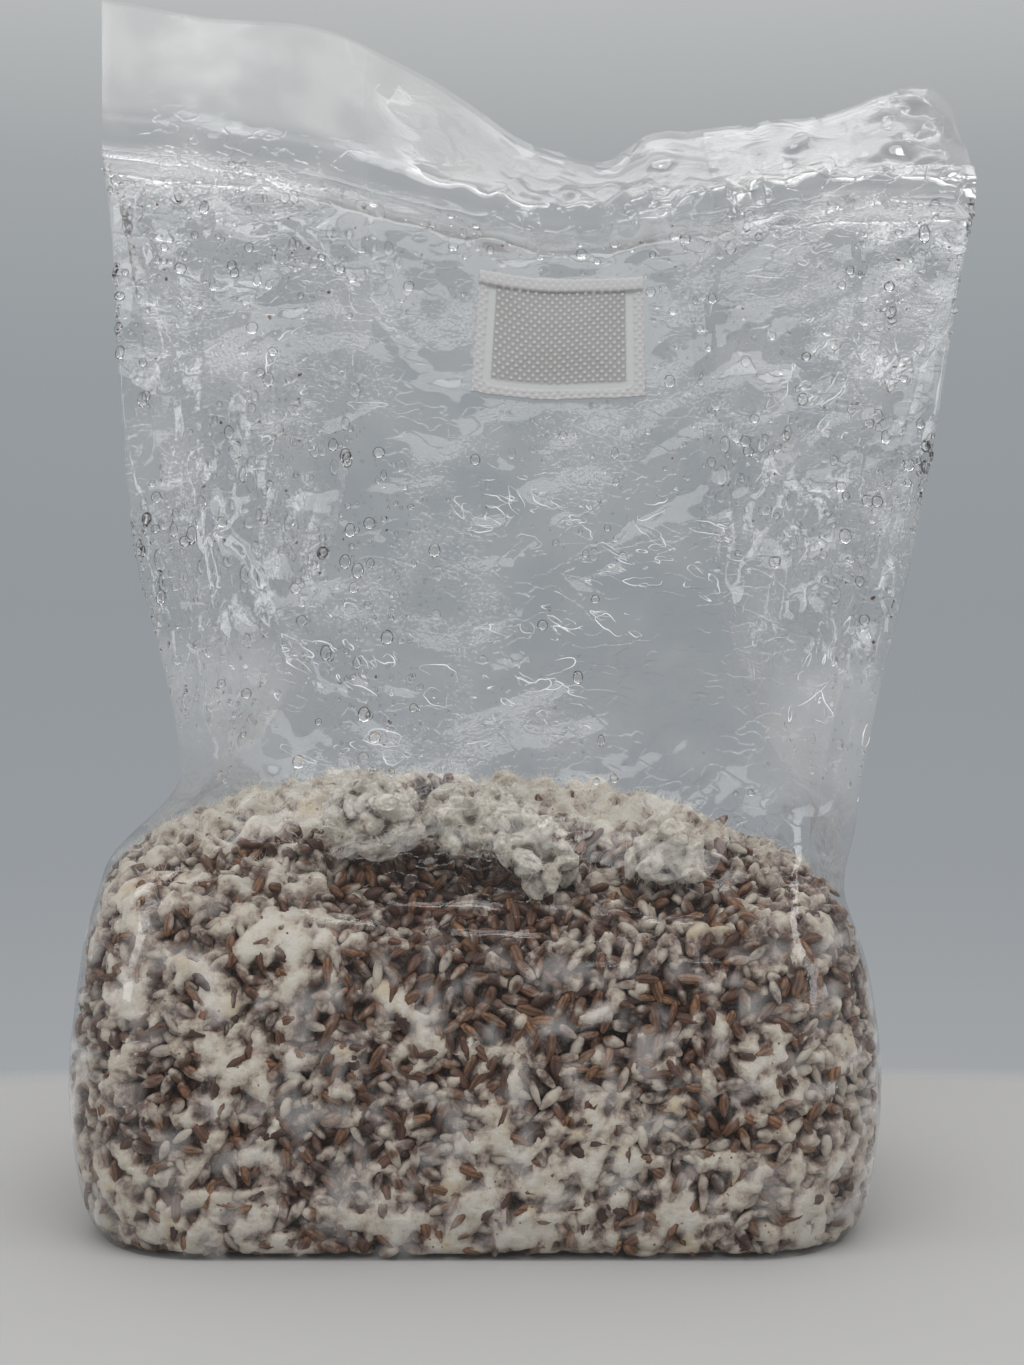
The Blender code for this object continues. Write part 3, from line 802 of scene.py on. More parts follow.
@dataclass
class BagForm:
    """Form of the film, laid out straight and then bent into the bag as it stands."""

    block_width: float = 180.0
    block_depth: float = 122.0
    block_height: float = 97.0
    block_offset: float = -14.6
    base_corner: float = 26.0
    block_corner: float = 33.0
    waist_width: float = 153.0
    waist_depth: float = 94.0
    waist_corner: float = 23.1
    seal_width: float = 209.2
    seal_height: float = 241.0
    seal_taper: float = 5.0
    seal_depth: float = 9.6
    flap_length: float = 31.0
    flap_curl_length: float = 7.0
    gusset_fold: float = 63.0
    fold_corner: float = 1.4
    shoulder_slope: float = -0.05
    welded_half: float = 0.12
    flap_gape: float = 0.9
    contact_levels: tuple = (0.62, 0.78, 0.80, 0.84)
    slope_rise: tuple = (0.36, 0.90)
    slope_fade: tuple = (0.95, 1.60)
    block_form: tuple = (
        (0.00, 0.915, 0.925, 0.00),
        (0.04, 0.952, 0.955, 0.40),
        (0.11, 0.975, 0.980, 0.75),
        (0.34, 1.000, 1.000, 1.00),
        (0.60, 0.972, 0.980, 1.00),
        (0.78, 0.920, 0.925, 0.65),
    )
    headspace_form: tuple = (
        (0.00, 0.00, 0.00, 0.14, 0.66),
        (0.13, 0.10, 0.18, 0.36, 0.70),
        (0.37, 0.41, 0.42, 0.66, 0.72),
        (0.65, 0.65, 0.655, 0.87, 0.84),
        (0.83, 0.79, 0.82, 0.96, 0.93),
        (0.95, 0.92, 0.925, 1.00, 0.98),
        (1.00, 1.000, 1.000, 1.00, 1.00),
    )
    seal_form: tuple = (
        (-1.00, 12.0, 0.0),
        (-0.75, 9.5, 9.0),
        (-0.52, 6.0, 2.0),
        (-0.30, 0.0, 18.0),
        (0.03, -6.5, 52.0),
        (0.16, -6.0, 58.0),
        (0.28, -4.5, 46.0),
        (0.62, 0.0, 50.0),
        (0.92, 1.0, 33.0),
        (1.00, 0.5, 46.0),
    )

    def __post_init__(self) -> None:
        """Prepare the curves of centre, half width, half depth, corner and fold over height."""
        rows = []
        for level, width, depth, corner in self.block_form:
            rows.append((level * self.block_height, self.block_offset, width * self.block_width / 2,
                         depth * self.block_depth / 2,
                         self.base_corner + (self.block_corner - self.base_corner) * corner, 0.0))
        upper = self.seal_height - self.seal_taper - self.block_height
        for level, width, depth, fold, offset in self.headspace_form:
            rows.append((self.block_height + level * upper, self.block_offset * (1 - offset),
                         (self.waist_width + width * (self.seal_width - self.waist_width)) / 2,
                         (self.waist_depth + depth * (self.seal_depth - self.waist_depth)) / 2,
                         max(self.waist_corner * (1 - level) ** 3, self.fold_corner),
                         fold * self.gusset_fold))
        table = np.array(rows)
        self.curves = [SmoothCurve(table[:, 0], table[:, column]) for column in range(1, 6)]
        places = [row[0] for row in self.seal_form]
        self.sag_curve = SmoothCurve(places, [row[1] for row in self.seal_form])
        self.curl_curve = SmoothCurve(places, [row[2] for row in self.seal_form])

    def sections(self, heights: np.ndarray) -> list:
        """Centre, half width, half depth, corner and fold at each height, through the seal and flap.

        Args:
            heights: Heights in the straight layout.

        Returns:
            Five arrays, one number for each height.
        """
        centre, half_width, half_depth, corner, fold = (curve(heights) for curve in self.curves)
        closing = smoothstep(heights, self.seal_height - 12.0, self.seal_height - 3.0)
        half_depth = half_depth * (1 - closing) + self.welded_half * closing
        gape = smoothstep(heights, self.seal_height + 4.0, self.seal_height + self.flap_length)
        half_depth = half_depth + self.flap_gape * gape
        corner = np.minimum(corner, half_depth * 0.5)
        return [centre, half_width, half_depth, corner, fold]

    def drape(self, points: np.ndarray) -> np.ndarray:
        """Move points of the straight layout to their places in the bag as it stands.

        Args:
            points: Rows of three coordinates.

        Returns:
            The moved points.
        """
        x, y, z = points.T
        across = x / (self.seal_width / 2)
        lift = self.shoulder_lift(x, z)
        lift = lift + self.sag_curve(across) * smoothstep(z, self.block_height, self.seal_height)
        along = z - self.seal_height
        bend = smoothstep(along, -self.flap_curl_length, self.flap_curl_length)
        angle = np.where(along > 0, np.radians(self.curl_curve(across)) * bend, 0.0)
        above = np.maximum(along, 0.0)
        return np.column_stack([
            x,
            above * np.sin(angle) + y * np.cos(angle),
            np.minimum(z, self.seal_height) + lift + above * np.cos(angle) - y * np.sin(angle),
        ])

    def shoulder_lift(self, x: np.ndarray, z: np.ndarray) -> np.ndarray:
        """How far the leaning shoulders lift the block's and the film's places."""
        level = z / self.block_height
        shoulder = smoothstep(level, *self.slope_rise) * (1.0 - smoothstep(level, *self.slope_fade))
        return self.shoulder_slope * (x - self.block_offset) * shoulder

    def depth_below(self, points: np.ndarray) -> np.ndarray:
        """Depth of points of the block below the film's straight wall, from 0 to 6.

        Args:
            points: Rows of three coordinates in the bag as it stands.

        Returns:
            The depths.
        """
        x, y, z = points.T
        centre, half_width, half_depth, corner, _ = self.sections(z - self.shoulder_lift(x, z))
        outside = past_corner(np.abs(x - centre) - (half_width - corner), np.abs(y) - (half_depth - corner))
        return np.clip(corner - outside, 0.0, 6.0)

    def contact_height(self, points: np.ndarray) -> np.ndarray:
        """Height at which the block leaves the film, in the direction of each point."""
        x, y = points[:, 0] - self.block_offset, points[:, 1]
        angles = np.arctan2(y / self.block_depth, x / self.block_width)
        turns = (angles + math.pi / 2) / (2 * math.pi) % 1.0
        levels = SmoothCurve([0.0, 0.25, 0.5, 0.75, 1.0], [*self.contact_levels, self.contact_levels[0]])
        return self.block_height * levels(turns)


@dataclass(frozen=True)
class Crease:
    """One long crease pressed into a panel, from start to end as places across and up it."""

    start: tuple
    end: tuple
    height: float
    width: float

    def raise_by(self, across: np.ndarray, up: np.ndarray) -> np.ndarray:
        """Height of the crease's ridge at places on the panel.

        Args:
            across: Places across the panel.
            up: Places up the panel.

        Returns:
            How far the film stands out there.
        """
        start, end = np.array(self.start), np.array(self.end)
        run = end - start
        length = float(np.linalg.norm(run))
        along = ((across - start[0]) * run[0] + (up - start[1]) * run[1]) / length
        off = ((across - start[0]) * run[1] - (up - start[1]) * run[0]) / length
        ends = smoothstep(along, -0.05 * length, 0.15 * length)
        ends = ends * smoothstep(length - along, -0.05 * length, 0.3 * length)
        ridge = np.clip(1 - np.abs(off) / self.width, 0.0, 1.0)
        return self.height * ridge * ends


@dataclass
class FilmBag:
    """The film bag: one sheet of film from its flat bottom to the open edge above the seal."""

    form: BagForm
    panel_steps: int = 74
    back_steps: int = 52
    corner_steps: int = 12
    fold_steps: int = 26
    row_step: float = 1.35
    seal_step: float = 0.75
    floor_rings: int = 12
    crumple_pitch: tuple = (22.0, 10.0, 5.0)
    crumple_height: tuple = (0.60, 0.26, 0.11)
    directions: int = 5
    patch_centre: tuple = (5.0, 206.0)
    patch_half: tuple = (19.0, 15.5)
    calm_centre: tuple = (36.0, 128.0)
    calm_half: tuple = (34.0, 26.0)
    weld_band: tuple = (-3.4, 3.4)
    weld_rib: float = 0.7
    weld_height: float = 0.16
    ruffle: tuple = (1.3, 0.8)
    crease_gain: float = 1.4
    smoothing_angle: float = 42.0
    lowest: float = 0.02
    clear_milk: tuple = (0.008, 0.042)
    grown_milk: tuple = (0.21, 0.19)
    flap_milk: float = 0.08
    waist_milk: float = 0.035
    grain_dulling: float = 0.5
    waist_dulling: float = 0.65
    flap_dulling: float = 0.8
    creases: tuple = (
        Crease((37.0, 181.0), (51.0, 167.0), 1.6, 2.2),
        Crease((51.0, 168.0), (59.0, 146.0), 1.5, 2.2),
        Crease((51.0, 168.0), (68.0, 158.0), 1.2, 2.0),
        Crease((66.0, 149.0), (84.0, 130.0), 1.7, 2.4),
        Crease((60.0, 140.0), (76.0, 112.0), 1.5, 2.6),
        Crease((72.5, 238.0), (71.5, 146.0), 0.9, 1.6),
        Crease((-77.0, 236.0), (-76.0, 140.0), 0.9, 1.6),
        Crease((41.0, 232.0), (38.0, 186.0), 0.7, 1.5),
        Crease((-40.0, 232.0), (-44.0, 170.0), 0.7, 1.5),
        Crease((-92.0, 222.0), (-62.0, 110.0), 1.6, 4.0),
        Crease((98.0, 214.0), (66.0, 104.0), 1.8, 4.0),
        Crease((-60.0, 222.0), (-30.0, 196.0), 1.1, 2.5),
        Crease((-70.0, 150.0), (-46.0, 112.0), 1.2, 2.6),
        Crease((-56.0, 70.0), (30.0, 66.5), 0.7, 1.3),
        Crease((-40.0, 74.0), (44.0, 72.0), 0.6, 1.2),
        Crease((-10.0, 61.0), (60.0, 66.0), 0.6, 1.3),
    )

    def on_panels(self, *panels: Panel) -> np.ndarray:
        """Whether each column of the sheet belongs to one of the panels."""
        return np.isin(self.panel, [panel.value for panel in panels])

    def off_calm(self, layout: np.ndarray) -> np.ndarray:
        """How far places of the straight layout lie from the calm part of the front, 1 at its rim."""
        x, z = layout[..., 0], layout[..., 2]
        return (((x - self.calm_centre[0]) / self.calm_half[0]) ** 2
                + ((z - self.calm_centre[1]) / self.calm_half[1]) ** 2)

    def contact(self) -> np.ndarray:
        """Height at which the block leaves the film, at each point of the sheet."""
        return self.form.contact_height(self.sheet.reshape(-1, 3)).reshape(self.sheet.shape[:2])

    def flank(self, low: float, high: float) -> np.ndarray:
        """0 at the middle of a panel and 1 beyond a share of its half width."""
        centre, half_width = (values[:, None] for values in self.form.sections(self.sheet[:, 0, 2])[:2])
        return smoothstep(np.abs(self.sheet[..., 0] - centre) / half_width, low, high)

    def heights(self) -> np.ndarray:
        """Heights of the film's rings from the floor to the open edge."""
        seal_start = self.form.seal_height - 8.0
        seal_end = self.form.seal_height + 8.0
        top = self.form.seal_height + self.form.flap_length
        lower = np.linspace(0.0, seal_start, int(seal_start / self.row_step))
        seal = np.arange(seal_start + self.seal_step, seal_end, self.seal_step)
        flap = np.linspace(seal_end, top, int((top - seal_end) / self.row_step) + 1)
        return np.concatenate([lower, seal, flap])

    def quarter(self, sections: list, panel_steps: int) -> tuple:
        """X and Y of a quarter of each ring, from a panel's middle to the side fold's crease.

        Args:
            sections: Centre, half width, half depth, corner and fold of each ring.
            panel_steps: Facets across half the panel.

        Returns:
            Two arrays with a row for each ring.
        """
        half_width, half_depth, corner, fold = (values[:, None] for values in sections[1:])
        share = np.arange(panel_steps)[None, :] / panel_steps
        turn = np.radians(np.linspace(0, 90, self.corner_steps + 1))[None, :]
        in_fold = np.arange(1, self.fold_steps + 1)[None, :] / self.fold_steps
        x = [(half_width - corner) * share, half_width - corner * (1 - np.sin(turn)),
             half_width - fold * in_fold]
        y = [-half_depth + 0 * share, -half_depth + corner * (1 - np.cos(turn)),
             -(half_depth - corner) * (1 - in_fold)]
        return np.concatenate(x, axis=1), np.concatenate(y, axis=1)

    def lay_out(self) -> None:
        """Lay the sheet out straight: places, and which panel each column belongs to."""
        heights = self.heights()
        sections = self.form.sections(heights)
        front_x, front_y = self.quarter(sections, self.panel_steps)
        back_x, back_y = self.quarter(sections, self.back_steps)
        x = np.concatenate([front_x, back_x[:, -2::-1], -back_x[:, 1:], -front_x[:, -2:0:-1]], axis=1)
        y = np.concatenate([front_y, -back_y[:, -2::-1], -back_y[:, 1:], front_y[:, -2:0:-1]], axis=1)
        x = x + sections[0][:, None]
        z = np.broadcast_to(heights[:, None], x.shape)
        self.sheet = np.stack([x, y, z], axis=-1)
        folds, corners = self.fold_steps, self.corner_steps + 1
        labels = [Panel.FRONT] * (self.panel_steps + corners) + [Panel.RIGHT] * (2 * folds - 1)
        labels += [Panel.BACK] * (2 * (self.back_steps + corners) - 1) + [Panel.LEFT] * (2 * folds - 1)
        labels += [Panel.FRONT] * (self.panel_steps + corners - 1)
        self.panel = np.array([label.value for label in labels])

    def grid_normals(self, sheet: np.ndarray) -> np.ndarray:
        """Directions out of the sheet at each of its points."""
        across = np.roll(sheet, -1, axis=1) - np.roll(sheet, 1, axis=1)
        up = np.gradient(sheet, axis=0)
        return unit(np.cross(across, up))

    def crumple(self, across: np.ndarray, up: np.ndarray, seed: int) -> np.ndarray:
        """Height of a crumpled sheet: flat facets between straight creases of limited length.

        Args:
            across: Places across the sheet.
            up: Places up the sheet.
            seed: Seed of the creases.

        Returns:
            Height at each place, about -1.5 to 1.5.
        """
        draw = np.random.default_rng(seed)
        field = SolidNoise(seed)
        flat = np.column_stack([across.ravel(), up.ravel(), np.zeros(across.size)])
        total = np.zeros(across.size)
        for pitch, height in zip(self.crumple_pitch, self.crumple_height):
            for number in range(self.directions):
                angle = draw.uniform(0, math.pi)
                step = pitch * draw.uniform(0.75, 1.5)
                bend = 0.35 * field(flat + 31.0 * number, 3.0 * pitch)
                along = flat[:, 0] * math.cos(angle) + flat[:, 1] * math.sin(angle)
                phase = along / step + bend + draw.random()
                mask = smoothstep(field(flat - 57.0 * number, 1.7 * pitch), -0.05, 0.45)
                total += height * triangle_wave(phase) * mask
        return total.reshape(across.shape)

    def amplitude(self) -> np.ndarray:
        """How strongly the film is crumpled at each point of the straight sheet."""
        strength = 0.75 + 0.75 * self.flank(0.45, 0.92)
        calmed = 0.35 + 0.65 * smoothstep(self.off_calm(self.sheet), 0.3, 1.3)
        strength = strength * np.where(self.on_panels(Panel.FRONT), calmed, 1.0)
        contact = self.contact()
        loose = smoothstep(self.sheet[..., 2], contact - 4.0, contact + 16.0)
        flank = self.flank(0.66, 0.95)
        return strength * (0.32 + 0.30 * flank + (0.68 - 0.30 * flank) * loose)

    def patch_clearance(self) -> np.ndarray:
        """0 behind the filter patch, where the film lies flat, and 1 away from it."""
        x, _, z = np.moveaxis(self.sheet, -1, 0)
        out_x = np.abs(x - self.patch_centre[0]) - self.patch_half[0]
        out_z = np.abs(z - self.patch_centre[1]) - self.patch_half[1]
        outside = smoothstep(np.maximum(out_x, out_z), 0.5, 6.0)
        return np.where(self.on_panels(Panel.FRONT), outside, 1.0)

    def shape(self) -> None:
        """Crumple the sheet, weld its seal and bend it into the standing bag."""
        self.lay_out()
        x, y, z = np.moveaxis(self.sheet, -1, 0)
        normals = self.grid_normals(self.sheet)
        along_fold = x.copy()
        sides = self.on_panels(Panel.RIGHT, Panel.LEFT)
        along_fold[:, sides] = 400.0 + 2.0 * x[:, sides] + y[:, sides]
        along_fold[:, self.on_panels(Panel.BACK)] += 900.0
        relief = self.crumple(along_fold, z, 21)
        centre, half_width = (values[:, None] for values in self.form.sections(self.sheet[:, 0, 2])[:2])
        edge = smoothstep(half_width - np.abs(x - centre), 0.0, 7.0)
        edge[:, sides] = 0.5
        contact = self.contact()
        held = 1 - smoothstep(z, contact - 4.0, contact + 10.0)
        relief = relief * self.amplitude()
        relief = np.maximum(relief, -0.05 * held - 4.0 * (1 - held)) + 0.1 * held
        creases = self.crease_gain * sum(crease.raise_by(x, z) for crease in self.creases)
        relief = relief + np.where(self.on_panels(Panel.FRONT), creases, 0.0)
        relief = relief * edge * self.patch_clearance()
        floor = smoothstep(z, 0.0, 10.0)
        joined = smoothstep(z, self.form.seal_height - 16.0, self.form.seal_height - 5.0)
        shaped = self.sheet + normals * (relief * floor * (1 - joined))[..., None]
        shaped[..., 1] += self.seal_waves(x, z) * joined
        weld = self.weld_lines(z)
        patchy = SolidNoise(61)(self.sheet.reshape(-1, 3), 9.0, 2).reshape(x.shape)
        shaped[..., 1] += np.sign(y) * self.weld_height * weld * (0.4 + 0.9 * smoothstep(patchy, -0.3, 0.5))
        points = self.form.drape(shaped.reshape(-1, 3))
        points[:, 2] = np.maximum(points[:, 2], self.lowest)
        self.points = points.reshape(self.sheet.shape)
        self.normals = self.grid_normals(self.points)
        self.weld = weld
        self.held = held

    def seal_waves(self, x: np.ndarray, z: np.ndarray) -> np.ndarray:
        """Waves that all layers share at the seal and in the flap: puckers, fluting and crumples."""
        ruffle = self.ruffle[0] * self.crumple(x * 1.5 + 140.0, z * 0.9, 47)
        ruffle += self.ruffle[1] * self.crumple(x * 2.2, z * 1.8, 48)
        bright = smoothstep(x, -30.0, 0.0) * smoothstep(-x, -96.0, -60.0)
        strength = 0.22 + 1.05 * bright + 0.8 * smoothstep(x, 70.0, 96.0)
        near = np.exp(-((z - self.form.seal_height - 2.0) / 13.0) ** 2)
        field = SolidNoise(5)
        flat = np.column_stack([x.ravel(), 0.35 * z.ravel(), 0 * x.ravel()])
        sway = (0.3 + 1.6 * bright) * field(flat, 38.0, 2).reshape(x.shape)
        return ruffle * strength * (0.55 + 0.9 * near) + sway

    def weld_lines(self, z: np.ndarray) -> np.ndarray:
        """1 on the two ribs of the heat seal, 0.35 between them, 0 elsewhere."""
        up = z - self.form.seal_height
        low, high = self.weld_band
        ribs = sum(np.exp(-((up - rib) / self.weld_rib) ** 2) for rib in self.weld_band)
        between = smoothstep(up, low, low + 0.5) * (1 - smoothstep(up, high - 0.5, high))
        return np.clip(ribs + 0.35 * between, 0.0, 1.0)

    def clouding(self, size: float, octaves: int) -> np.ndarray:
        """Soft random numbers over the straight sheet.

        Args:
            size: Size of the lumps.
            octaves: How many layers of lumps there are.

        Returns:
            A number for each point of the sheet.
        """
        clouds = SolidNoise(77 + octaves)(self.sheet.reshape(-1, 3), size, octaves)
        return clouds.reshape(self.sheet.shape[:2])

    def creasing(self) -> np.ndarray:
        """How deep the fine creases are: patchy, none behind the patch and few above the seal."""
        x, _, z = np.moveaxis(self.sheet, -1, 0)
        patchy = smoothstep(self.clouding(19.0, 1), -0.35, 0.3)
        above = smoothstep(z, self.form.seal_height - 4.0, self.form.seal_height + 10.0)
        left = smoothstep(-x, 15.0, 45.0)
        return self.amplitude() * self.patch_clearance() * patchy * (1 - above * (0.3 + 0.6 * left))

    def left_flap(self) -> np.ndarray:
        """1 on the outer layers of the flap's left part, 0 elsewhere."""
        x, _, z = np.moveaxis(self.sheet, -1, 0)
        outer = self.on_panels(Panel.FRONT, Panel.BACK)
        above = smoothstep(z, self.form.seal_height + 2.0, self.form.seal_height + 8.0)
        return above * smoothstep(-x, -5.0, 20.0) * outer

    def waist_corners(self) -> np.ndarray:
        """1 where the film bunches up at the two ends of the waist, 0 elsewhere."""
        z = self.sheet[..., 2]
        return smoothstep(z, 90.0, 100.0) * (1 - smoothstep(z, 120.0, 134.0)) * self.flank(0.55, 0.8)

    def milkiness(self) -> np.ndarray:
        """How milky the film is: hazy in clouds, grown over at the grain, and dull on the left flap."""
        over_grain = smoothstep(self.sheet[..., 2], 84.0, 112.0)
        least, clouds = self.clear_milk
        milk = least + clouds * smoothstep(self.clouding(15.0, 3), -0.35, 0.6) * over_grain
        middle, more = self.grown_milk
        grown = smoothstep(self.clouding(6.5, 3), 0.0, 0.7) * (middle + more * self.flank(0.8, 0.97))
        milk = milk + self.held * grown + self.flap_milk * self.left_flap()
        return milk + self.waist_milk * self.waist_corners()

    def glossiness(self) -> np.ndarray:
        """How much of its full mirror the film shows: less on grain, waist corners and left flap."""
        z = self.sheet[..., 2]
        on_grain = self.held * (1 - 0.8 * self.flank(0.66, 0.95))
        inner = smoothstep(z, self.form.seal_height - 4.0, self.form.seal_height + 4.0)
        inner = inner * self.on_panels(Panel.RIGHT, Panel.LEFT)
        grown = (1 - self.grain_dulling * on_grain) * (1 - self.waist_dulling * self.waist_corners())
        inner = inner * smoothstep(-self.sheet[..., 0], -5.0, 20.0)
        return grown * (1 - self.flap_dulling * self.left_flap()) * (1 - self.flap_dulling * inner)

    def dampness(self) -> np.ndarray:
        """How densely fine condensation sits on the film, from 0 to 1."""
        x, _, z = np.moveaxis(self.sheet, -1, 0)
        field = SolidNoise(88)
        patches = field(self.sheet.reshape(-1, 3), 22.0, 3).reshape(x.shape)
        density = smoothstep(patches, -0.1, 0.5)
        over_block = smoothstep(z, 88.0, 115.0)
        over_block = over_block * (1 - smoothstep(z, self.form.seal_height - 6, self.form.seal_height))
        calmed = smoothstep(self.off_calm(self.sheet), 0.5, 1.6)
        return density * over_block * np.where(self.on_panels(Panel.FRONT), calmed, 0.6)

    def lay_floor(self, index: np.ndarray) -> tuple:
        """Close the bottom with rings that shrink to one point.

        Args:
            index: Point numbers of the sheet.

        Returns:
            The new points and their faces.
        """
        ring, centre = self.points[0], self.points[0].mean(axis=0)
        columns = len(ring)
        added, faces, previous = [], [], index[0]
        for step in range(1, self.floor_rings):
            share = 1 - step / self.floor_rings
            new = centre + (ring - centre) * share
            waves = smoothstep(np.sin(new[:, 0] / 7.0 + new[:, 1] / 5.0), -1.0, 1.0)
            new[:, 2] = self.lowest + 0.25 * (1 - share) * waves
            current = index.size + (step - 1) * columns + np.arange(columns)
            faces += list(zip(current.tolist(), np.roll(current, -1).tolist(),
                              np.roll(previous, -1).tolist(), previous.tolist()))
            added.append(new)
            previous = current
        middle = index.size + (self.floor_rings - 1) * columns
        faces += [(middle, int(b), int(a)) for a, b in zip(previous, np.roll(previous, -1))]
        return np.vstack([*added, centre[None, :]]), faces

    def build(self, material: bpy.types.Material) -> bpy.types.Object:
        """Make the film's mesh.

        Args:
            material: Its finish.

        Returns:
            The film, which stands for the frame's film node.
        """
        self.shape()
        rows, columns = self.points.shape[:2]
        index = np.arange(rows * columns).reshape(rows, columns)
        after = np.roll(index, -1, axis=1)
        quads = np.stack([index[:-1], after[:-1], after[1:], index[1:]], axis=-1).reshape(-1, 4)
        floor_points, floor_faces = self.lay_floor(index)
        points = np.vstack([self.points.reshape(-1, 3), floor_points])
        faces = [tuple(row) for row in quads.tolist()] + floor_faces
        extra = len(floor_points)
        fields = {
            "weld": (self.weld, 0.0),
            "damp": (self.dampness(), 0.0),
            "gloss": (self.glossiness(), 0.5),
            "slack": (self.creasing(), 0.0),
            "milk": (self.milkiness(), 0.0),
        }
        attributes = {name: np.concatenate([values.ravel(), np.full(extra, on_floor)])
                      for name, (values, on_floor) in fields.items()}
        film = mesh_object("film_bag", points, faces, attributes)
        pick(film)
        bpy.ops.object.shade_smooth_by_angle(angle=math.radians(self.smoothing_angle))
        film.data.materials.append(material)
        return film

    def sample(self, rows: np.ndarray, columns: np.ndarray) -> tuple:
        """Places, normals and layout places at fractional rows and columns of the sheet.

        Args:
            rows: Row numbers with fractions.
            columns: Column numbers with fractions.

        Returns:
            Points, normals out of the film, and places in the straight layout.
        """
        low = np.clip(rows.astype(int), 0, self.points.shape[0] - 2)
        left = columns.astype(int) % self.points.shape[1]
        right = (left + 1) % self.points.shape[1]
        up, over = (rows - low)[:, None], (columns - columns.astype(int))[:, None]
        found = []
        for grid in (self.points, self.normals, self.sheet):
            bottom = grid[low, left] * (1 - over) + grid[low, right] * over
            top = grid[low + 1, left] * (1 - over) + grid[low + 1, right] * over
            found.append(bottom * (1 - up) + top * up)
        return found[0], unit(found[1]), found[2]


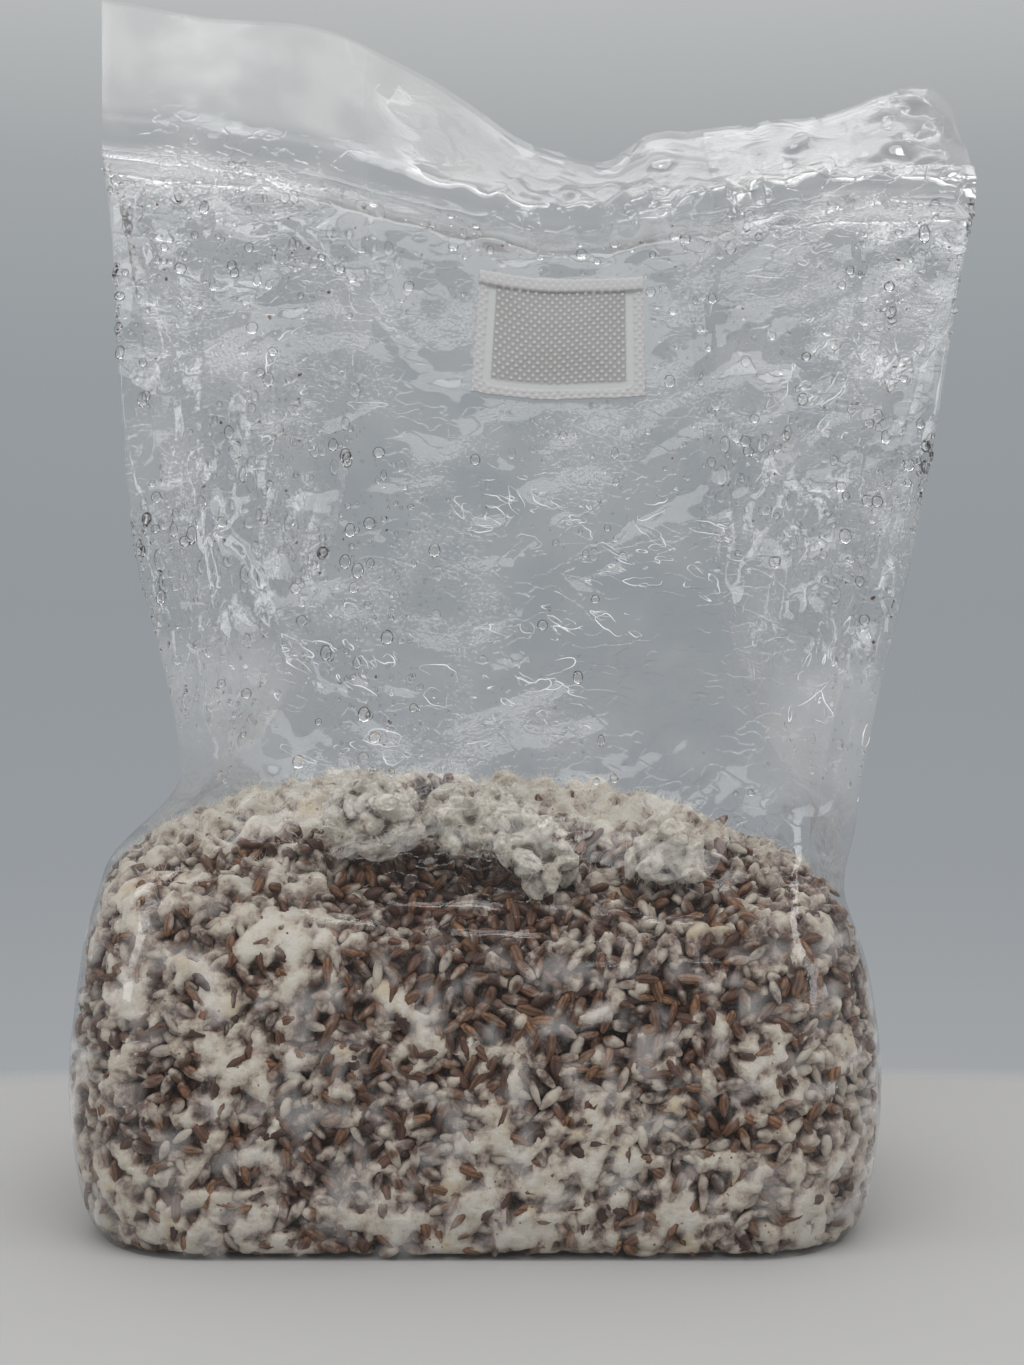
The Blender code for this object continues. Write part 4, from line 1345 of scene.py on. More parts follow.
@dataclass
class Condensation:
    """Beads of water on the inside of the film, and the rims of wet patches that cling to it."""

    film: FilmBag
    beads: int = 1300
    bead_sizes: tuple = (0.45, 1.5)
    fine_beads: int = 4200
    fine_bead_sizes: tuple = (0.2, 0.42)
    crumbs: int = 70
    crumb_sizes: tuple = (0.18, 0.5)
    bead_height: float = 0.62
    bead_rise: float = 0.12
    rim_thickness: tuple = (0.08, 0.19)
    seed: int = 301
    rim_steps: int = 26
    rim_sides: int = 4
    rim_groups: tuple = (
        (1.0, 165.0, 20.0, 6.0, 30, -0.25),
        (9.0, 136.0, 12.0, 4.5, 16, -0.35),
        (17.0, 148.0, 14.0, 5.0, 18, -0.30),
        (-6.0, 119.0, 19.0, 6.0, 26, -0.20),
        (-48.0, 128.0, 18.0, 12.0, 30, -0.50),
        (37.0, 146.0, 12.0, 9.0, 14, -0.50),
        (-34.0, 104.0, 24.0, 4.0, 14, 0.00),
        (60.0, 122.0, 8.0, 14.0, 14, 1.00),
        (-58.0, 190.0, 16.0, 18.0, 20, 0.60),
        (64.0, 190.0, 14.0, 18.0, 16, 0.80),
    )

    def bead_shape(self, finer: bool) -> tuple:
        """One bead: a low dome whose flat side lies on the film."""
        deselect_all()
        bpy.ops.mesh.primitive_ico_sphere_add(subdivisions=2 if finer else 1, radius=1.0)
        bead = bpy.context.object
        select_points(bead, lambda co: co.x > 0.02)
        bpy.ops.transform.resize(value=(0.25, 1.0, 1.0), center_override=(0.0, 0.0, 0.0))
        return take_shape(bead)

    def wanted(self, layout: np.ndarray) -> np.ndarray:
        """Chance that a bead sits at places of the straight layout."""
        x, _, z = layout.T
        field = SolidNoise(self.seed)
        patches = smoothstep(field(layout, 26.0, 2), -0.35, 0.45)
        sides = 0.25 + 0.75 * smoothstep(np.abs(x - 4.0), 18.0, 60.0)
        under_seal = np.exp(-((z - 226.0) / 9.0) ** 2)
        band = smoothstep(z, 92.0, 125.0) * (1 - smoothstep(z, 232.0, 238.0))
        px, pz = self.film.patch_centre
        on_patch = (np.abs(x - px) < self.film.patch_half[0]) & (np.abs(z - pz) < self.film.patch_half[1])
        chance = patches * np.clip(sides + 0.5 * under_seal, 0, 1) * band
        chance = chance * smoothstep(self.film.off_calm(layout), 0.4, 1.5)
        return np.where(on_patch, 0.0, chance)

    def choose(self, count: int, seed: int) -> tuple:
        """Draw places for beads where they are wanted.

        Args:
            count: How many beads.
            seed: Seed of the draw.

        Returns:
            Points and inward normals for the beads.
        """
        draw = np.random.default_rng(seed)
        film = self.film
        rows = draw.uniform(40, film.points.shape[0] - 30, count * 14)
        columns = draw.uniform(0, film.points.shape[1], count * 14)
        points, normals, layout = film.sample(rows, columns)
        keep = draw.random(len(rows)) < self.wanted(layout)
        chosen = np.flatnonzero(keep)[:count]
        return points[chosen], -normals[chosen]

    def build_beads(self, material: bpy.types.Material) -> bpy.types.Object:
        """Make all beads as one piece."""
        draw = np.random.default_rng(self.seed + 1)
        parts = []
        kinds = ((True, self.beads, self.bead_sizes), (False, self.fine_beads, self.fine_bead_sizes))
        for finer, count, (low, high) in kinds:
            places, normals = self.choose(count, self.seed + 2 + count)
            size = low + (high - low) * draw.random(len(places)) ** 2.6
            drip = 1.0 + 0.9 * draw.random(len(places)) ** 3
            axes = frames_on(normals, np.full(len(places), math.pi / 2), np.zeros(len(places)))
            axes[:, 0] *= -1.0
            sizes = np.column_stack([size * self.bead_height, size, size * drip])
            places = places + normals * (self.bead_rise * size)[:, None]
            parts.append(scatter(self.bead_shape(finer), places, axes, sizes))
        first = len(parts[0][0])
        points = np.vstack([parts[0][0], parts[1][0]])
        faces = parts[0][1] + [tuple(corner + first for corner in face) for face in parts[1][1]]
        beads = mesh_object("water_beads", points, faces)
        point_outwards(beads)
        beads.data.materials.append(material)
        return beads

    def build_crumbs(self, material: bpy.types.Material) -> bpy.types.Object:
        """Make the crumbs of grain that cling to the inside of the film."""
        draw = np.random.default_rng(self.seed + 4)
        places, normals = self.choose(self.crumbs, self.seed + 5)
        count = len(places)
        size = draw.uniform(*self.crumb_sizes, count)
        axes = frames_on(normals, draw.uniform(0, math.pi, count), np.zeros(count))
        sizes = np.column_stack([0.5 * size, size, size * draw.uniform(0.8, 1.8, count)])
        points, faces = scatter(self.bead_shape(False), places + normals * (0.4 * size)[:, None], axes, sizes)
        values = {"tone": 0.45, "coat": -1.0, "cover": 0.0, "furrow_shade": 0.0, "across": 0.33}
        attributes = {name: np.full(len(points), value) for name, value in values.items()}
        crumbs = mesh_object("grain_crumbs", points, faces, attributes)
        crumbs.data.materials.append(material)
        return crumbs

    def rim(self, draw: np.random.Generator, group: tuple) -> np.ndarray:
        """Points of one rim, ring by ring along it.

        Args:
            draw: Where its random numbers come from.
            group: Row of rim_groups that it belongs to.

        Returns:
            Rows of three coordinates.
        """
        middle_x, middle_z, spread_x, spread_z, _, lean = group
        steps = self.rim_steps
        x = middle_x + spread_x * draw.normal(0, 0.6)
        z = middle_z + spread_z * draw.normal(0, 0.6)
        long_half = 0.5 + 3.4 * draw.random() ** 2
        flat_half = long_half * draw.uniform(0.18, 0.55)
        tilt = lean + draw.normal(0, 0.3)
        turn = draw.uniform(0, 6.3) + np.linspace(0, 1, steps) * draw.uniform(2.4, 6.1)
        reach = np.ones(steps)
        for waves in (2, 3, 5, 7):
            reach += draw.uniform(0, 0.6 / waves) * np.sin(waves * turn + draw.uniform(0, 6.3))
        u, v = long_half * reach * np.cos(turn), flat_half * reach * np.sin(turn)
        across = x + u * math.cos(tilt) - v * math.sin(tilt)
        up = z + u * math.sin(tilt) + v * math.cos(tilt)
        centre_line, outward = self.on_front(across, up)
        aside = unit(np.cross(unit(np.gradient(centre_line, axis=0)), outward))
        ends = np.sin(np.linspace(0.08, math.pi - 0.08, steps)) ** 0.5
        thick = draw.uniform(*self.rim_thickness) * ends
        thick = thick * (0.6 + 0.4 * np.sin(2 * turn + draw.uniform(0, 6.3)))
        loop = []
        for side in range(self.rim_sides):
            angle = 2 * math.pi * side / self.rim_sides
            offset = aside * math.cos(angle) + outward * math.sin(angle)
            loop.append(centre_line + offset * np.maximum(thick, 0.03)[:, None])
        return np.stack(loop, axis=1).reshape(-1, 3)

    def build_rims(self, material: bpy.types.Material) -> bpy.types.Object:
        """Make the rims: thin threads with closed ends round blob-shaped wet patches."""
        draw = np.random.default_rng(self.seed + 9)
        steps, sides = self.rim_steps, self.rim_sides
        points = [self.rim(draw, group) for group in self.rim_groups for _ in range(group[4])]
        faces = []
        for start in range(0, len(points) * sides * steps, sides * steps):
            for step, side in product(range(steps - 1), range(sides)):
                a, b = start + step * sides + side, start + step * sides + (side + 1) % sides
                faces.append((a, b, b + sides, a + sides))
            faces.append(tuple(range(start, start + sides)))
            faces.append(tuple(range(start + (steps - 1) * sides, start + steps * sides)))
        rims = mesh_object("wet_rims_painted_glint", np.vstack(points), faces)
        point_outwards(rims)
        rims.data.materials.append(material)
        return rims

    def on_front(self, across: np.ndarray, up: np.ndarray) -> tuple:
        """Points and normals on the front panel at places across and up it."""
        film = self.film
        heights = film.sheet[:, 0, 2]
        rows = np.interp(up, heights, np.arange(len(heights)))
        centre, half_width, _, corner, _ = film.form.sections(up)
        share = (across - centre) / (half_width - corner)
        columns = share * film.panel_steps
        columns = np.where(columns < 0, columns + film.points.shape[1], columns)
        return film.sample(rows, columns)[:2]


@dataclass
class GrainBlock:
    """Block of rye grown through by mycelium: the felted mass and the kernels that show in it."""

    form: BagForm
    voxel: float = 1.06
    kernel_length: float = 6.0
    kernel_thickness: float = 2.45
    kernel_spacing: float = 2.85
    cover_steps: tuple = (0.15, 0.34, 0.48, 0.58, 0.70, 1.00)
    cover_push: tuple = (-3.6, -2.3, -1.1, -0.15, 0.35, 0.65)
    skin_depth: float = 1.25
    lowest: float = 0.45
    patch_size: float = 4.2
    coated_places: tuple = ((21.0, 69.0, 6.0, 0.30), (33.0, 80.0, 7.0, 0.30), (47.0, 72.0, 6.0, 0.25))
    seed: int = 71
    least_height: float = 1.6
    bare_crown: float = 0.75
    most_cover: float = 0.98
    most_cover_below: float = 0.42
    length_range: tuple = (0.78, 1.14)
    thickness_range: tuple = (0.80, 1.18)
    coat_spread: tuple = (0.04, 0.08)
    tone_spread: tuple = (0.55, 0.27)
    lump_size: float = 7.5
    lump_push: float = 4.2
    knob_size: float = 2.4
    cover_weights: tuple = (0.42, 0.60, 0.22)
    layers: tuple = (
        ("rye_kernels", 1.0, 0.0, 5),
        ("rye_kernels_below", 1.25, 2.6, 6),
    )
    growths: tuple = (
        (-63.0, 38.0, 10.0, 0.22),
        (-30.0, 52.0, 8.0, 0.22),
        (18.0, 30.0, 10.0, 0.20),
        (52.0, 44.0, 9.0, 0.20),
        (-8.0, 28.0, 7.0, 0.18),
        (-52.0, 68.0, 10.0, 0.22),
        (60.0, 20.0, 10.0, 0.18),
        (-58.0, 88.0, 16.0, 0.24),
    )
    bare_places: tuple = (
        (-2.0, 50.0, 12.0, 0.08),
        (30.0, 56.0, 13.0, 0.08),
        (-40.0, 20.0, 9.0, 0.12),
        (-14.0, 64.0, 14.0, 0.10),
    )

    def cover_at(self, points: np.ndarray, normals: np.ndarray) -> np.ndarray:
        """How thickly mycelium covers places on the block, from 0 bare to 1 thick.

        Args:
            points: Places in millimetres.
            normals: Directions out of the block there.

        Returns:
            The cover.
        """
        x, y, z = points.T
        patchy = SolidNoise(self.seed)(points, self.patch_size, 3)
        broad = SolidNoise(self.seed + 3)(points, 15.0, 2)
        mean, patchy_weight, broad_weight = self.cover_weights
        cover = mean + patchy_weight * patchy + broad_weight * broad
        cover += 0.19 * (1 - smoothstep(z, 4.0, 34.0))
        front = smoothstep(-y, 10.0, 40.0)
        slope = smoothstep(z, 42.0, 60.0) * (1 - smoothstep(z, 84.0, 93.0)) * front
        left = smoothstep(-x, 38.0, 66.0)
        cover -= slope * (0.09 - 0.18 * left)
        crown = smoothstep(z, 80.0, 92.0) * smoothstep(normals[:, 2], 0.3, 0.7) * smoothstep(y, -40.0, -26.0)
        cover += 0.42 * crown
        for places, sign in ((self.growths, 1.0), (self.bare_places, -1.0)):
            for across, up, reach, strength in places:
                near = np.exp(-((x - across) ** 2 + (z - up) ** 2) / reach ** 2)
                cover += sign * strength * near * front
        return np.clip(cover, 0.0, 1.0)

    def build_mass(self, material: bpy.types.Material) -> bpy.types.Object:
        """Make the felted mass on the frame's own block.

        Args:
            material: Its finish.

        Returns:
            The mass, which stands for the frame's block node.
        """
        mass = copy_of_node("grain_block", "grown_block", self.voxel)
        points, normals = read_points(mass), read_normals(mass)
        cover = self.cover_at(points, normals)
        self.surface, self.surface_normals, self.surface_cover = points, normals, cover
        lumps = 0.65 - smoothstep(SolidNoise(self.seed + 1).nearest(points, self.lump_size), 0.1, 0.8)
        fine = SolidNoise(self.seed + 2)(points, self.knob_size, 2)
        contact = self.form.contact_height(points)
        open_top = smoothstep(points[:, 2], contact - 2, contact + 8)
        push = np.interp(cover, self.cover_steps, self.cover_push)
        push += 0.5 * lumps * (0.6 + 0.1 * open_top) + 0.40 * fine * (0.6 - 0.3 * open_top)
        push += self.lump_push * open_top * smoothstep(cover, 0.40, 0.65) * lumps
        push = np.where(open_top < 0.5, np.minimum(push, 0.92), push)
        push += (self.form.depth_below(points) - self.skin_depth) * (1 - open_top)
        moved = points + normals * (push * smoothstep(points[:, 2], 0.6, 3.0))[:, None]
        moved[:, 2] = np.maximum(moved[:, 2], self.lowest)
        write_points(mass, moved)
        write_attribute(mass, "cover", cover)
        # low holds the depth in hollows of the open top, which the finish turns into painted shade.
        write_attribute(mass, "low", hollows(mass, 12) * open_top)
        mass.data.materials.append(material)
        return mass

    def in_furrow(self, across: object, along: object) -> object:
        """Whether places across and along a kernel of unit size lie in its furrow."""
        return (abs(across) < 0.2) & (abs(along) < 0.8)

    def kernel_shape(self) -> tuple:
        """One rye kernel: pointed at the germ, blunt at the brush, with a furrow down its belly."""
        deselect_all()
        bpy.ops.mesh.primitive_uv_sphere_add(segments=8, ring_count=6, radius=1.0)
        kernel = bpy.context.object
        select_points(kernel, lambda co: co.z < -0.4)
        bpy.ops.transform.resize(value=(0.80, 0.86, 1.0), center_override=(0.0, 0.0, 0.0))
        select_points(kernel, lambda co: co.z > 0.8)
        bpy.ops.transform.resize(value=(1.1, 1.08, 0.96), center_override=(0.0, 0.0, 0.0))
        select_points(kernel, lambda co: co.x > 0.45 and self.in_furrow(co.y, co.z))
        bpy.ops.transform.translate(value=(-0.28, 0.0, 0.0))
        return take_shape(kernel)

    def lay_kernels(self, shape: tuple, factor: float, sink: float, seed: int) -> tuple:
        """Lay one layer of kernels on the block.

        Args:
            shape: Points and faces of one kernel.
            factor: Spacing of the layer as a share of the usual one.
            sink: How far the layer lies below the surface.
            seed: What the layer adds to the block's seed.

        Returns:
            Points, faces, attributes of the points, and which kernels lie on the front half.
        """
        # The points in the furrow, where the finish paints shade.
        furrow_shade = ((shape[0][:, 0] > 0.2) & self.in_furrow(shape[0][:, 1], shape[0][:, 2])).astype(float)
        points, normals, cover = self.surface, self.surface_normals, self.surface_cover
        contact = self.form.contact_height(points)
        crown = smoothstep(normals[:, 2], 0.5, 0.85) * smoothstep(points[:, 1], -34.0, -20.0)
        usable = (points[:, 2] > self.least_height) & (crown < self.bare_crown) & (cover < self.most_cover)
        if sink:
            usable &= cover < self.most_cover_below
        usable = np.flatnonzero(usable)
        spacing = self.kernel_spacing * factor * (1.0 + 0.35 * smoothstep(cover[usable], 0.55, 0.9))
        chosen = usable[spread_out(points[usable], spacing, self.seed + seed)]
        draw = np.random.default_rng(self.seed + seed + 10)
        count = len(chosen)
        place, normal, grown = points[chosen], normals[chosen], cover[chosen]
        open_top = smoothstep(place[:, 2], contact[chosen] - 4.0, contact[chosen] + 8.0)
        turns = draw.uniform(0, math.pi, count)
        tilts = draw.normal(0, 0.14, count) * (1 + 3.0 * open_top)
        length = self.kernel_length * draw.uniform(*self.length_range, count)
        thick = self.kernel_thickness * draw.uniform(*self.thickness_range, count)
        raised = smoothstep(grown, 0.50, 0.68)
        coat = draw.normal(*self.coat_spread, count) - raised * draw.choice([0.62, 0.30], count, p=[0.75, 0.25])
        top = 0.70 + 0.25 * raised + draw.uniform(-1.0, 0.35, count) * (1 - 0.65 * raised)
        top -= 1.4 * smoothstep(grown + coat, 0.48, 0.66)
        top = np.minimum(top, 1.12) + (self.form.depth_below(place) - self.skin_depth) * (1 - open_top)
        top += open_top * (1 - raised) * draw.uniform(0.0, 1.8, count) - sink
        depth = top - thick / 2 - np.abs(np.sin(tilts)) * length / 2 * (1 - open_top)
        axes = frames_on(normal, turns, tilts)
        spin = draw.choice([0.0, 0.5, 1.0], count) * math.pi + draw.normal(0, 0.5, count)
        out = axes[:, 0] * np.cos(spin)[:, None] + axes[:, 1] * np.sin(spin)[:, None]
        axes = np.stack([out, np.cross(axes[:, 2], out), axes[:, 2]], axis=1)
        sizes = np.column_stack([thick / 2, thick / 2 * 1.08, length / 2])
        spots, faces = scatter(shape, place + normal * depth[:, None], axes, sizes)
        low = spots[:, 2].reshape(count, -1).min(axis=1)
        lift = np.maximum(self.lowest - low, 0.0)
        spots[:, 2] += np.repeat(lift, len(shape[0]))
        tone = np.clip(draw.normal(*self.tone_spread, count), 0, 1)
        for across, up, reach, strength in self.coated_places:
            near = np.exp(-((place[:, 0] - across) ** 2 + (place[:, 2] - up) ** 2) / reach ** 2)
            coat += strength * near * (place[:, 1] < 0)
        around = np.repeat(normal, len(shape[0]), axis=0)
        attributes = {
            "tone": np.repeat(tone, len(shape[0])),
            "coat": np.repeat(coat, len(shape[0])),
            "cover": self.cover_at(spots, around),
            "furrow_shade": np.tile(furrow_shade, count),
            "across": np.tile(shape[0][:, 1], count),
        }
        return spots, faces, attributes, place[:, 1] < 0

    def build_kernels(self, material: bpy.types.Material) -> list:
        """Make the kernels in two layers, at the surface and below it, each in a front and a back piece.

        Args:
            material: Their finish.

        Returns:
            The pieces, each under the limit on one mesh.
        """
        shape = self.kernel_shape()
        pieces = []
        for name, factor, sink, seed in self.layers:
            spots, faces, attributes, in_front = self.lay_kernels(shape, factor, sink, seed)
            for part_name, part in ((name, in_front), (name + "_behind", ~in_front)):
                corners = np.repeat(part, len(shape[0]))
                part_faces = faces[:int(part.sum()) * len(shape[1])]
                kept = {key: values[corners] for key, values in attributes.items()}
                kernels = mesh_object(part_name, spots[corners], part_faces, kept)
                kernels.data.materials.append(material)
                pieces.append(kernels)
        return pieces


@dataclass
class Clods:
    """Loose clods: kernels overgrown with felt, on the frame's own solids."""

    kernel: tuple
    names: tuple = ("clod_left", "clod_middle", "clod_right")
    voxel: float = 0.42
    kernel_spacing: float = 5.6
    kernel_size: tuple = (2.1, 2.15, 3.8)
    growth_room: float = 1.2
    seed: int = 131

    def add_kernels(self, clod: bpy.types.Object, seed: int) -> None:
        """Stud a clod with kernels and fuse them with it under one felt.

        Args:
            clod: The clod.
            seed: Seed of the kernels' places.
        """
        points, normals = read_points(clod), read_normals(clod)
        chosen = spread_out(points, np.full(len(points), self.kernel_spacing), seed)
        draw = np.random.default_rng(seed)
        count = len(chosen)
        axes = frames_on(normals[chosen], draw.uniform(0, math.pi, count), draw.normal(0.25, 0.35, count))
        sizes = np.array(self.kernel_size) * draw.uniform(0.85, 1.1, (count, 1))
        spots, faces = scatter(self.kernel, points[chosen] + 0.3 * normals[chosen], axes, sizes)
        studs = mesh_object(clod.name + "_studs", spots, faces)
        pick(clod)
        studs.select_set(True)
        bpy.ops.object.join()
        remesh_evenly(clod, self.voxel)
        soften = clod.modifiers.new("soft_felt", "SMOOTH")
        soften.factor, soften.iterations = 0.5, 2
        bpy.ops.object.modifier_apply(modifier=soften.name)
        clod.data.shade_smooth()

    def build(self, material: bpy.types.Material) -> list:
        """Make the clods.

        Args:
            material: Their finish.

        Returns:
            The clods in the order of their names.
        """
        pieces = []
        for number, name in enumerate(self.names):
            clod = copy_of_node(name, "felted_" + name, self.voxel)
            before = read_points(clod)
            low_limit = before.min(axis=0) - self.growth_room
            high_limit = before.max(axis=0) + self.growth_room
            self.add_kernels(clod, self.seed + 20 + number)
            points, normals = read_points(clod), read_normals(clod)
            fine = SolidNoise(self.seed + 7 + number)(points, 1.6, 1)
            write_points(clod, np.clip(points + 0.10 * normals * fine[:, None], low_limit, high_limit))
            # The depth in hollows, which the clod finish turns into painted shade.
            write_attribute(clod, "low", hollows(clod, 24))
            clod.data.materials.append(material)
            pieces.append(clod)
        return pieces


@dataclass
class Fluff:
    """Threads of mycelium that stand on the crown of the block and on the clods."""

    count: int = 30000
    length: float = 1.9
    width: float = 0.06
    seed: int = 211

    def build(self, hosts: list, weights: list, material: bpy.types.Material) -> bpy.types.Object:
        """Make the threads.

        Args:
            hosts: Pieces that the threads stand on.
            weights: For each host, a function of its points and normals that gives a thread's chance.
            material: Their finish.

        Returns:
            All threads as one piece.
        """
        draw = np.random.default_rng(self.seed)
        roots, outs = [], []
        chances = []
        for host, weight in zip(hosts, weights):
            points, normals = read_points(host), read_normals(host)
            roots.append(points)
            outs.append(normals)
            chances.append(weight(points, normals))
        roots, outs, chances = np.vstack(roots), np.vstack(outs), np.concatenate(chances)
        chosen = draw.choice(len(roots), self.count, p=chances / chances.sum())
        root = roots[chosen] + draw.normal(0, 0.35, (self.count, 3))
        out = unit(outs[chosen] + draw.normal(0, 0.75, (self.count, 3)))
        length = self.length * draw.uniform(0.4, 1.3, self.count)[:, None]
        side = unit(np.cross(out, draw.normal(size=(self.count, 3))))
        curl = unit(np.cross(out, side)) * draw.normal(0, 0.35, (self.count, 1))
        half = self.width / 2
        base = root - out * 0.3
        middle = root + out * length * 0.5 + curl * length * 0.4
        tip = root + out * length + curl * length * 1.2
        points = np.stack([base - side * half, base + side * half, middle + side * half,
                           middle - side * half, tip], axis=1).reshape(-1, 3)
        start = np.arange(self.count) * 5
        faces = [(a, a + 1, a + 2, a + 3) for a in start.tolist()]
        faces += [(a + 3, a + 2, a + 4) for a in start.tolist()]
        threads = mesh_object("mycelium_threads", points, faces)
        threads.data.materials.append(material)
        return threads


@dataclass
class FilterPatch:
    """Filter patch: point-embossed cloth, its welded frame and its loose folded hem."""

    form: BagForm
    width: float = 38.0
    height: float = 31.0
    thickness: float = 0.55
    centre: tuple = (5.0, 206.0)
    gap: float = 0.35
    weld_inset: float = 2.2
    weld_width: float = 1.8
    weld_corner: float = 2.2
    weld_softness: float = 0.15
    weld_sink: float = 0.2
    cloth: float = 0.3
    hem_height: float = 3.4
    hem_rise: float = 0.9
    pillow: float = 0.9
    dot_pitch: float = 1.9
    dot_row: float = 1.05
    dot_height: float = 0.30
    row_bend: float = 0.5
    flare: float = 1.9
    hem_droop: float = 1.0
    grid_step: float = 0.25

    def relief(self, across: np.ndarray, up: np.ndarray) -> tuple:
        """Height of the cloth and how far it is pressed or welded, from its lower left corner.

        Args:
            across: Places across the patch.
            up: Places up the patch.

        Returns:
            Height, pressed share, which also sets painted shade, and welded share at each place.
        """
        half_x = self.width / 2 - self.weld_inset
        low, high = self.weld_inset, self.height - self.weld_inset + 2.0
        mid_z, half_z = (low + high) / 2, (high - low) / 2
        out_x = np.abs(across - self.width / 2) - half_x + self.weld_corner
        out_z = np.abs(up - mid_z) - half_z + self.weld_corner
        inside = self.weld_corner - past_corner(out_x, out_z)
        soft = self.weld_softness
        weld = smoothstep(inside, -soft, soft)
        weld = weld * (1 - smoothstep(inside, self.weld_width - soft, self.weld_width + soft))
        hem = smoothstep(up, self.height - self.hem_height - 0.3, self.height - self.hem_height + 0.2)
        weld = weld * (1 - hem)
        bent = up + self.row_bend * np.sin(2.2 * math.pi * across / self.width - 0.06 * up)
        rise = bent / (2 * self.dot_row)
        lattice = np.cos(2 * math.pi * (across / self.dot_pitch + rise))
        lattice += np.cos(2 * math.pi * (across / self.dot_pitch - rise))
        dots = smoothstep(lattice, 0.2, 1.7) * (1 - weld)
        framed = smoothstep(inside, -0.3, 0.3) * (1 - hem)
        # The low cloth between the raised dots is pressed, and the finish greys it: partly the bond, partly
        # painted shade.
        press_and_shade = (1 - dots) * (1 - weld) * (0.35 + 0.65 * framed)
        bulge = smoothstep(inside - self.weld_width, 0.0, self.height / 3) * (1 - hem)
        height = self.thickness + self.pillow * bulge + self.hem_rise * hem
        height = height + self.dot_height * dots * (1 - 0.6 * hem) - self.weld_sink * weld
        rolled = smoothstep(up, self.height - 0.5, self.height) + 0.6 * (1 - smoothstep(
            up, self.height - self.hem_height - 0.2, self.height - self.hem_height + 0.9)) * hem
        return height - 0.45 * rolled, press_and_shade, weld

    def build(self, material: bpy.types.Material) -> bpy.types.Object:
        """Make the patch.

        Args:
            material: Its finish.

        Returns:
            The patch, which stands for the frame's patch node.
        """
        deselect_all()
        bpy.ops.mesh.primitive_grid_add(x_subdivisions=int(self.width / self.grid_step),
                                        y_subdivisions=int(self.height / self.grid_step), size=1.0,
                                        location=(0.0, 0.0, 0.0), rotation=(0.0, 0.0, 0.0))
        patch = bpy.context.object
        patch.name = "filter_cloth"
        flat = read_points(patch) * MM
        across, up = (flat[:, 0] + 0.5) * self.width, (flat[:, 1] + 0.5) * self.height
        height, press_and_shade, weld = self.relief(across, up)
        ragged = SolidNoise(3)(np.column_stack([across, up, 0 * up]), 2.5, 2)
        edge = np.minimum(np.minimum(across, self.width - across), np.minimum(up, self.height - up))
        shift = 0.25 * ragged * (1 - smoothstep(edge, 0.0, 1.0))
        z = self.centre[1] - self.height / 2 + up + shift
        z = z - self.hem_droop * (across / self.width) ** 2 * (up / self.height) ** 2
        x = self.centre[0] - self.width / 2 + across + shift
        x = x - self.flare * (1 - up / self.height) * (1 - across / self.width)
        half_depth = self.form.sections(z)[2]
        y = -(half_depth + self.gap + height)
        write_points(patch, self.form.drape(np.column_stack([x, y, z])))
        write_attribute(patch, "press_and_shade", press_and_shade)
        write_attribute(patch, "weld", weld)
        thick = patch.modifiers.new("cloth_thickness", "SOLIDIFY")
        thick.thickness = self.cloth * MM
        thick.offset = -1.0
        pick(patch)
        bpy.ops.object.modifier_apply(modifier=thick.name)
        patch.data.shade_smooth()
        patch.data.materials.append(material)
        return patch


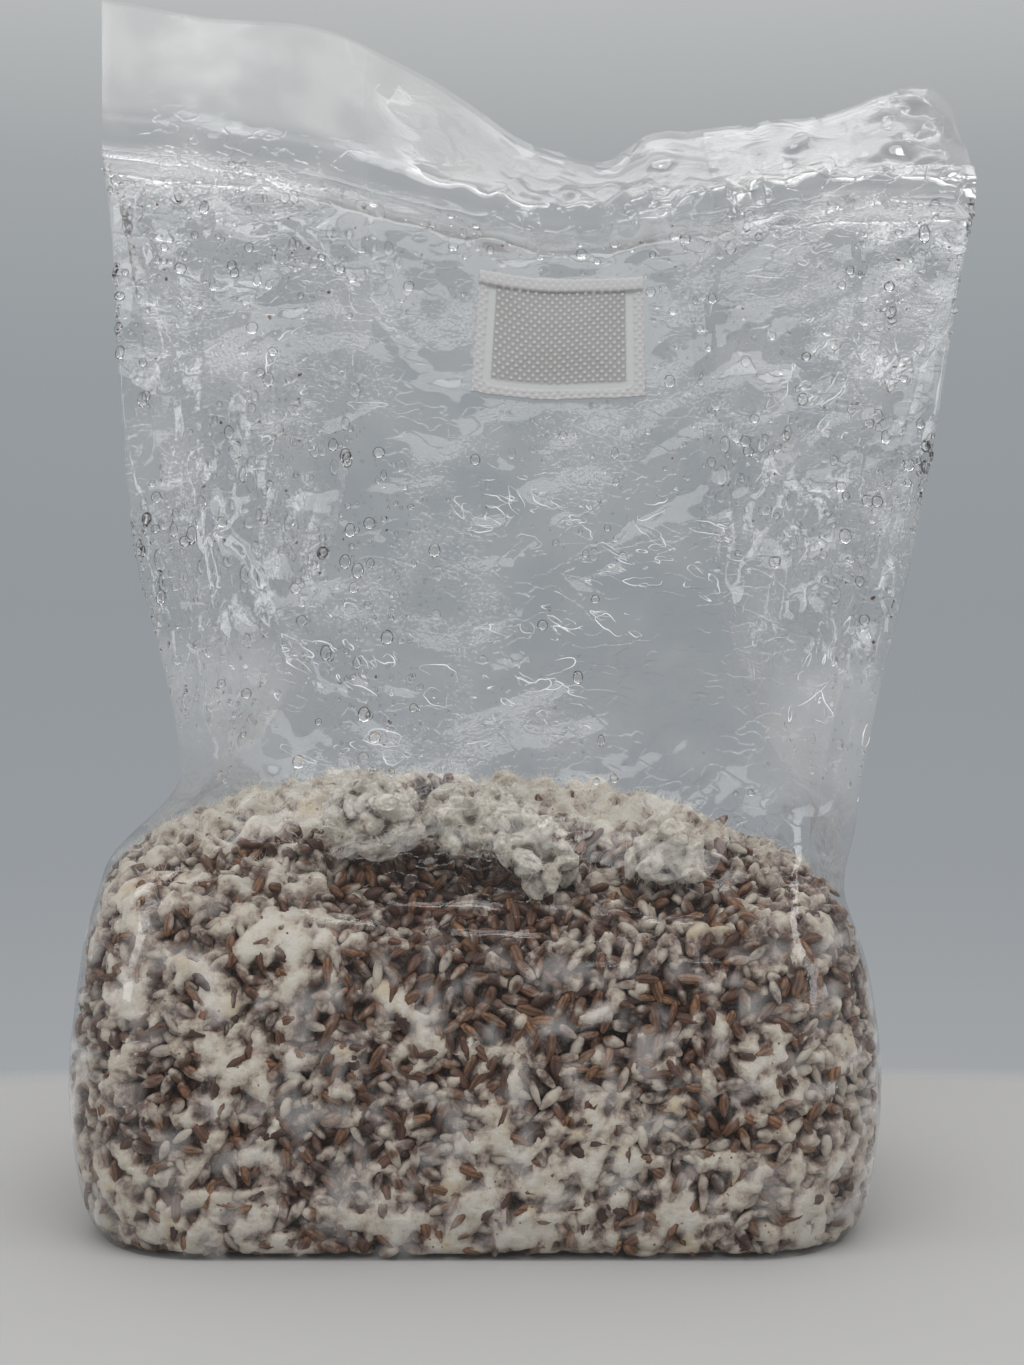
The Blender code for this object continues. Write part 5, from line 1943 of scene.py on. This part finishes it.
@dataclass
class Studio:
    """Pale card, soft lamps, backdrop and camera."""

    eye: tuple = (-0.0065, -0.450, 0.121)
    lens: float = 49.6
    film_height: float = 36.0
    card_size: float = 0.9
    ambient: float = 0.78
    daylight: tuple = (1.0, 0.99, 0.975)
    room: tuple = (0.15, 0.157, 0.165)
    backdrop: tuple = (
        (0.00, (0.42, 0.425, 0.43)),
        (0.36, (0.40, 0.41, 0.42)),
        (0.45, (0.31, 0.33, 0.35)),
        (0.52, (0.29, 0.315, 0.335)),
        (0.58, (0.305, 0.33, 0.35)),
        (0.63, (0.36, 0.38, 0.39)),
        (0.67, (0.48, 0.495, 0.495)),
        (1.00, (0.60, 0.60, 0.60)),
    )
    lamps: tuple = (
        ("lamp_front", (0.0, -0.50, 0.74), (0.80, 0.20), 1.35),
        ("lamp_top_front", (0.0, -0.26, 0.68), (0.62, 0.10), 1.0),
        ("lamp_top_back", (0.0, 0.16, 0.70), (0.62, 0.36), 0.6),
        ("lamp_left", (-0.58, -0.30, 0.30), (0.08, 0.40), 0.5),
        ("lamp_right", (0.58, -0.30, 0.30), (0.08, 0.40), 0.5),
    )

    def lay_card(self) -> bpy.types.Object:
        """Lay the card that the bag stands on."""
        deselect_all()
        bpy.ops.mesh.primitive_plane_add(size=self.card_size, location=(0.0, 0.0, 0.0))
        card = bpy.context.object
        card.name = "floor_card"
        card.data.transform(card.matrix_world)
        card.data.materials.append(FloorFinish().build())
        return card

    def hang_lamps(self) -> None:
        """Hang the soft lamps, each turned to the bag."""
        target = Vector((0.0, 0.0, 0.12))
        for name, place, size, power in self.lamps:
            light = bpy.data.lights.new(name, "AREA")
            light.shape = "RECTANGLE"
            light.size, light.size_y = size
            light.energy = power
            lamp = bpy.data.objects.new(name, light)
            lamp.location = place
            lamp.rotation_euler = (target - Vector(place)).to_track_quat("-Z", "Y").to_euler()
            bpy.context.scene.collection.objects.link(lamp)

    def paint_world(self) -> None:
        """Show a soft grey backdrop and a darker room in front of it, and light the rest evenly."""
        world = bpy.data.worlds.new("studio")
        bpy.context.scene.world = world
        nodes = NodeTree(world)
        ray = nodes.add("TexCoord").outputs["Generated"]
        direction = nodes.add("SeparateXYZ", {0: ray}).outputs
        sockets = {"Value": direction[2], "From Min": -1.0, "From Max": 1.0}
        share = nodes.output("MapRange", sockets)
        seen = nodes.output("Background", {"Color": nodes.ramp(share, self.backdrop)})
        darker = nodes.output("Background", {"Color": self.room})
        sockets = {"Color": self.daylight, "Strength": self.ambient}
        even = nodes.output("Background", sockets)
        path = nodes.add("LightPath").outputs
        in_front = nodes.fit(direction[1], 0.0, -0.6)
        seen = nodes.output("MixShader", {0: in_front, 1: seen, 2: darker})
        shown = nodes.maths("MAXIMUM", path["Is Camera Ray"], path["Is Glossy Ray"])
        shown = nodes.maths("MAXIMUM", shown, path["Is Transmission Ray"])
        mixed = nodes.output("MixShader", {0: shown, 1: even, 2: seen})
        nodes.add("OutputWorld", {"Surface": mixed})

    def place_camera(self) -> None:
        """Set the camera level, in front of the bag."""
        camera = bpy.data.cameras.new("camera")
        camera.lens = self.lens
        camera.sensor_width = self.film_height
        camera.clip_start = 0.01
        obj = bpy.data.objects.new("camera", camera)
        obj.location = self.eye
        obj.rotation_euler = (math.radians(90.0), 0.0, 0.0)
        bpy.context.scene.collection.objects.link(obj)
        bpy.context.scene.camera = obj

    def build(self) -> None:
        """Set up the whole studio."""
        self.lay_card()
        self.hang_lamps()
        self.paint_world()
        self.place_camera()
        scene = bpy.context.scene
        scene.view_settings.view_transform = "Standard"
        scene.cycles.transparent_max_bounces = 24
        scene.cycles.diffuse_bounces = 2
        scene.cycles.glossy_bounces = 2
        scene.cycles.transmission_bounces = 4
        scene.cycles.light_sampling_threshold = 0.05


def hand_over(piece: bpy.types.Object, slot: Slot, *nodes: str) -> None:
    """Let a piece ride on the bag, hide the frame's nodes that it stands for, and report its triangles.

    Args:
        piece: The finished piece.
        slot: The record's material slot; not used.
        nodes: Nodes of the frame that it stands for.
    """
    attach(piece, BODY)
    if nodes:
        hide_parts(*nodes)
    triangles = sum(len(face.vertices) - 2 for face in piece.data.polygons)
    LOG.info("%s: %d triangles", piece.name, triangles)


def main() -> None:
    """Build the bag piece by piece, in the order in which it is filled and closed."""
    logging.basicConfig(level=logging.INFO, format="%(message)s")
    form = BagForm()
    Studio().build()

    block = GrainBlock(form)
    mass = block.build_mass(GrownFinish().build())
    hand_over(mass, Slot.GRAIN, "grain_block")
    kernel_finish = KernelFinish().build()
    for kernels in block.build_kernels(kernel_finish):
        hand_over(kernels, Slot.GRAIN)

    clods = Clods(block.kernel_shape())
    felted = clods.build(ClodFinish().build())
    for clod, node in zip(felted, clods.names):
        hand_over(clod, Slot.MYCELIUM, node)

    def on_crown(points: np.ndarray, normals: np.ndarray) -> np.ndarray:
        """Chance of a thread on the block: on its crown where the cover is thick."""
        crown = smoothstep(points[:, 2], 72.0, 90.0) * smoothstep(normals[:, 2], 0.1, 0.7)
        return crown * block.surface_cover ** 2

    def on_clod(points: np.ndarray, normals: np.ndarray) -> np.ndarray:
        """Chance of a thread on a clod: low and even."""
        return np.full(len(points), 0.02)

    threads = Fluff().build([mass, *felted], [on_crown, on_clod, on_clod, on_clod], FluffFinish().build())
    hand_over(threads, Slot.MYCELIUM)

    film = FilmBag(form)
    hand_over(film.build(FilmFinish().build()), Slot.FILM, "bag_film")
    water = Condensation(film)
    hand_over(water.build_beads(WaterFinish().build()), Slot.FILM)
    hand_over(water.build_rims(PaintedGlintRimFinish().build()), Slot.FILM)
    hand_over(water.build_crumbs(kernel_finish), Slot.GRAIN)
    hand_over(FilterPatch(form).build(FilterFinish().build()), Slot.FILTER_CLOTH, "filter_patch")


if __name__ == "__main__":
    main()
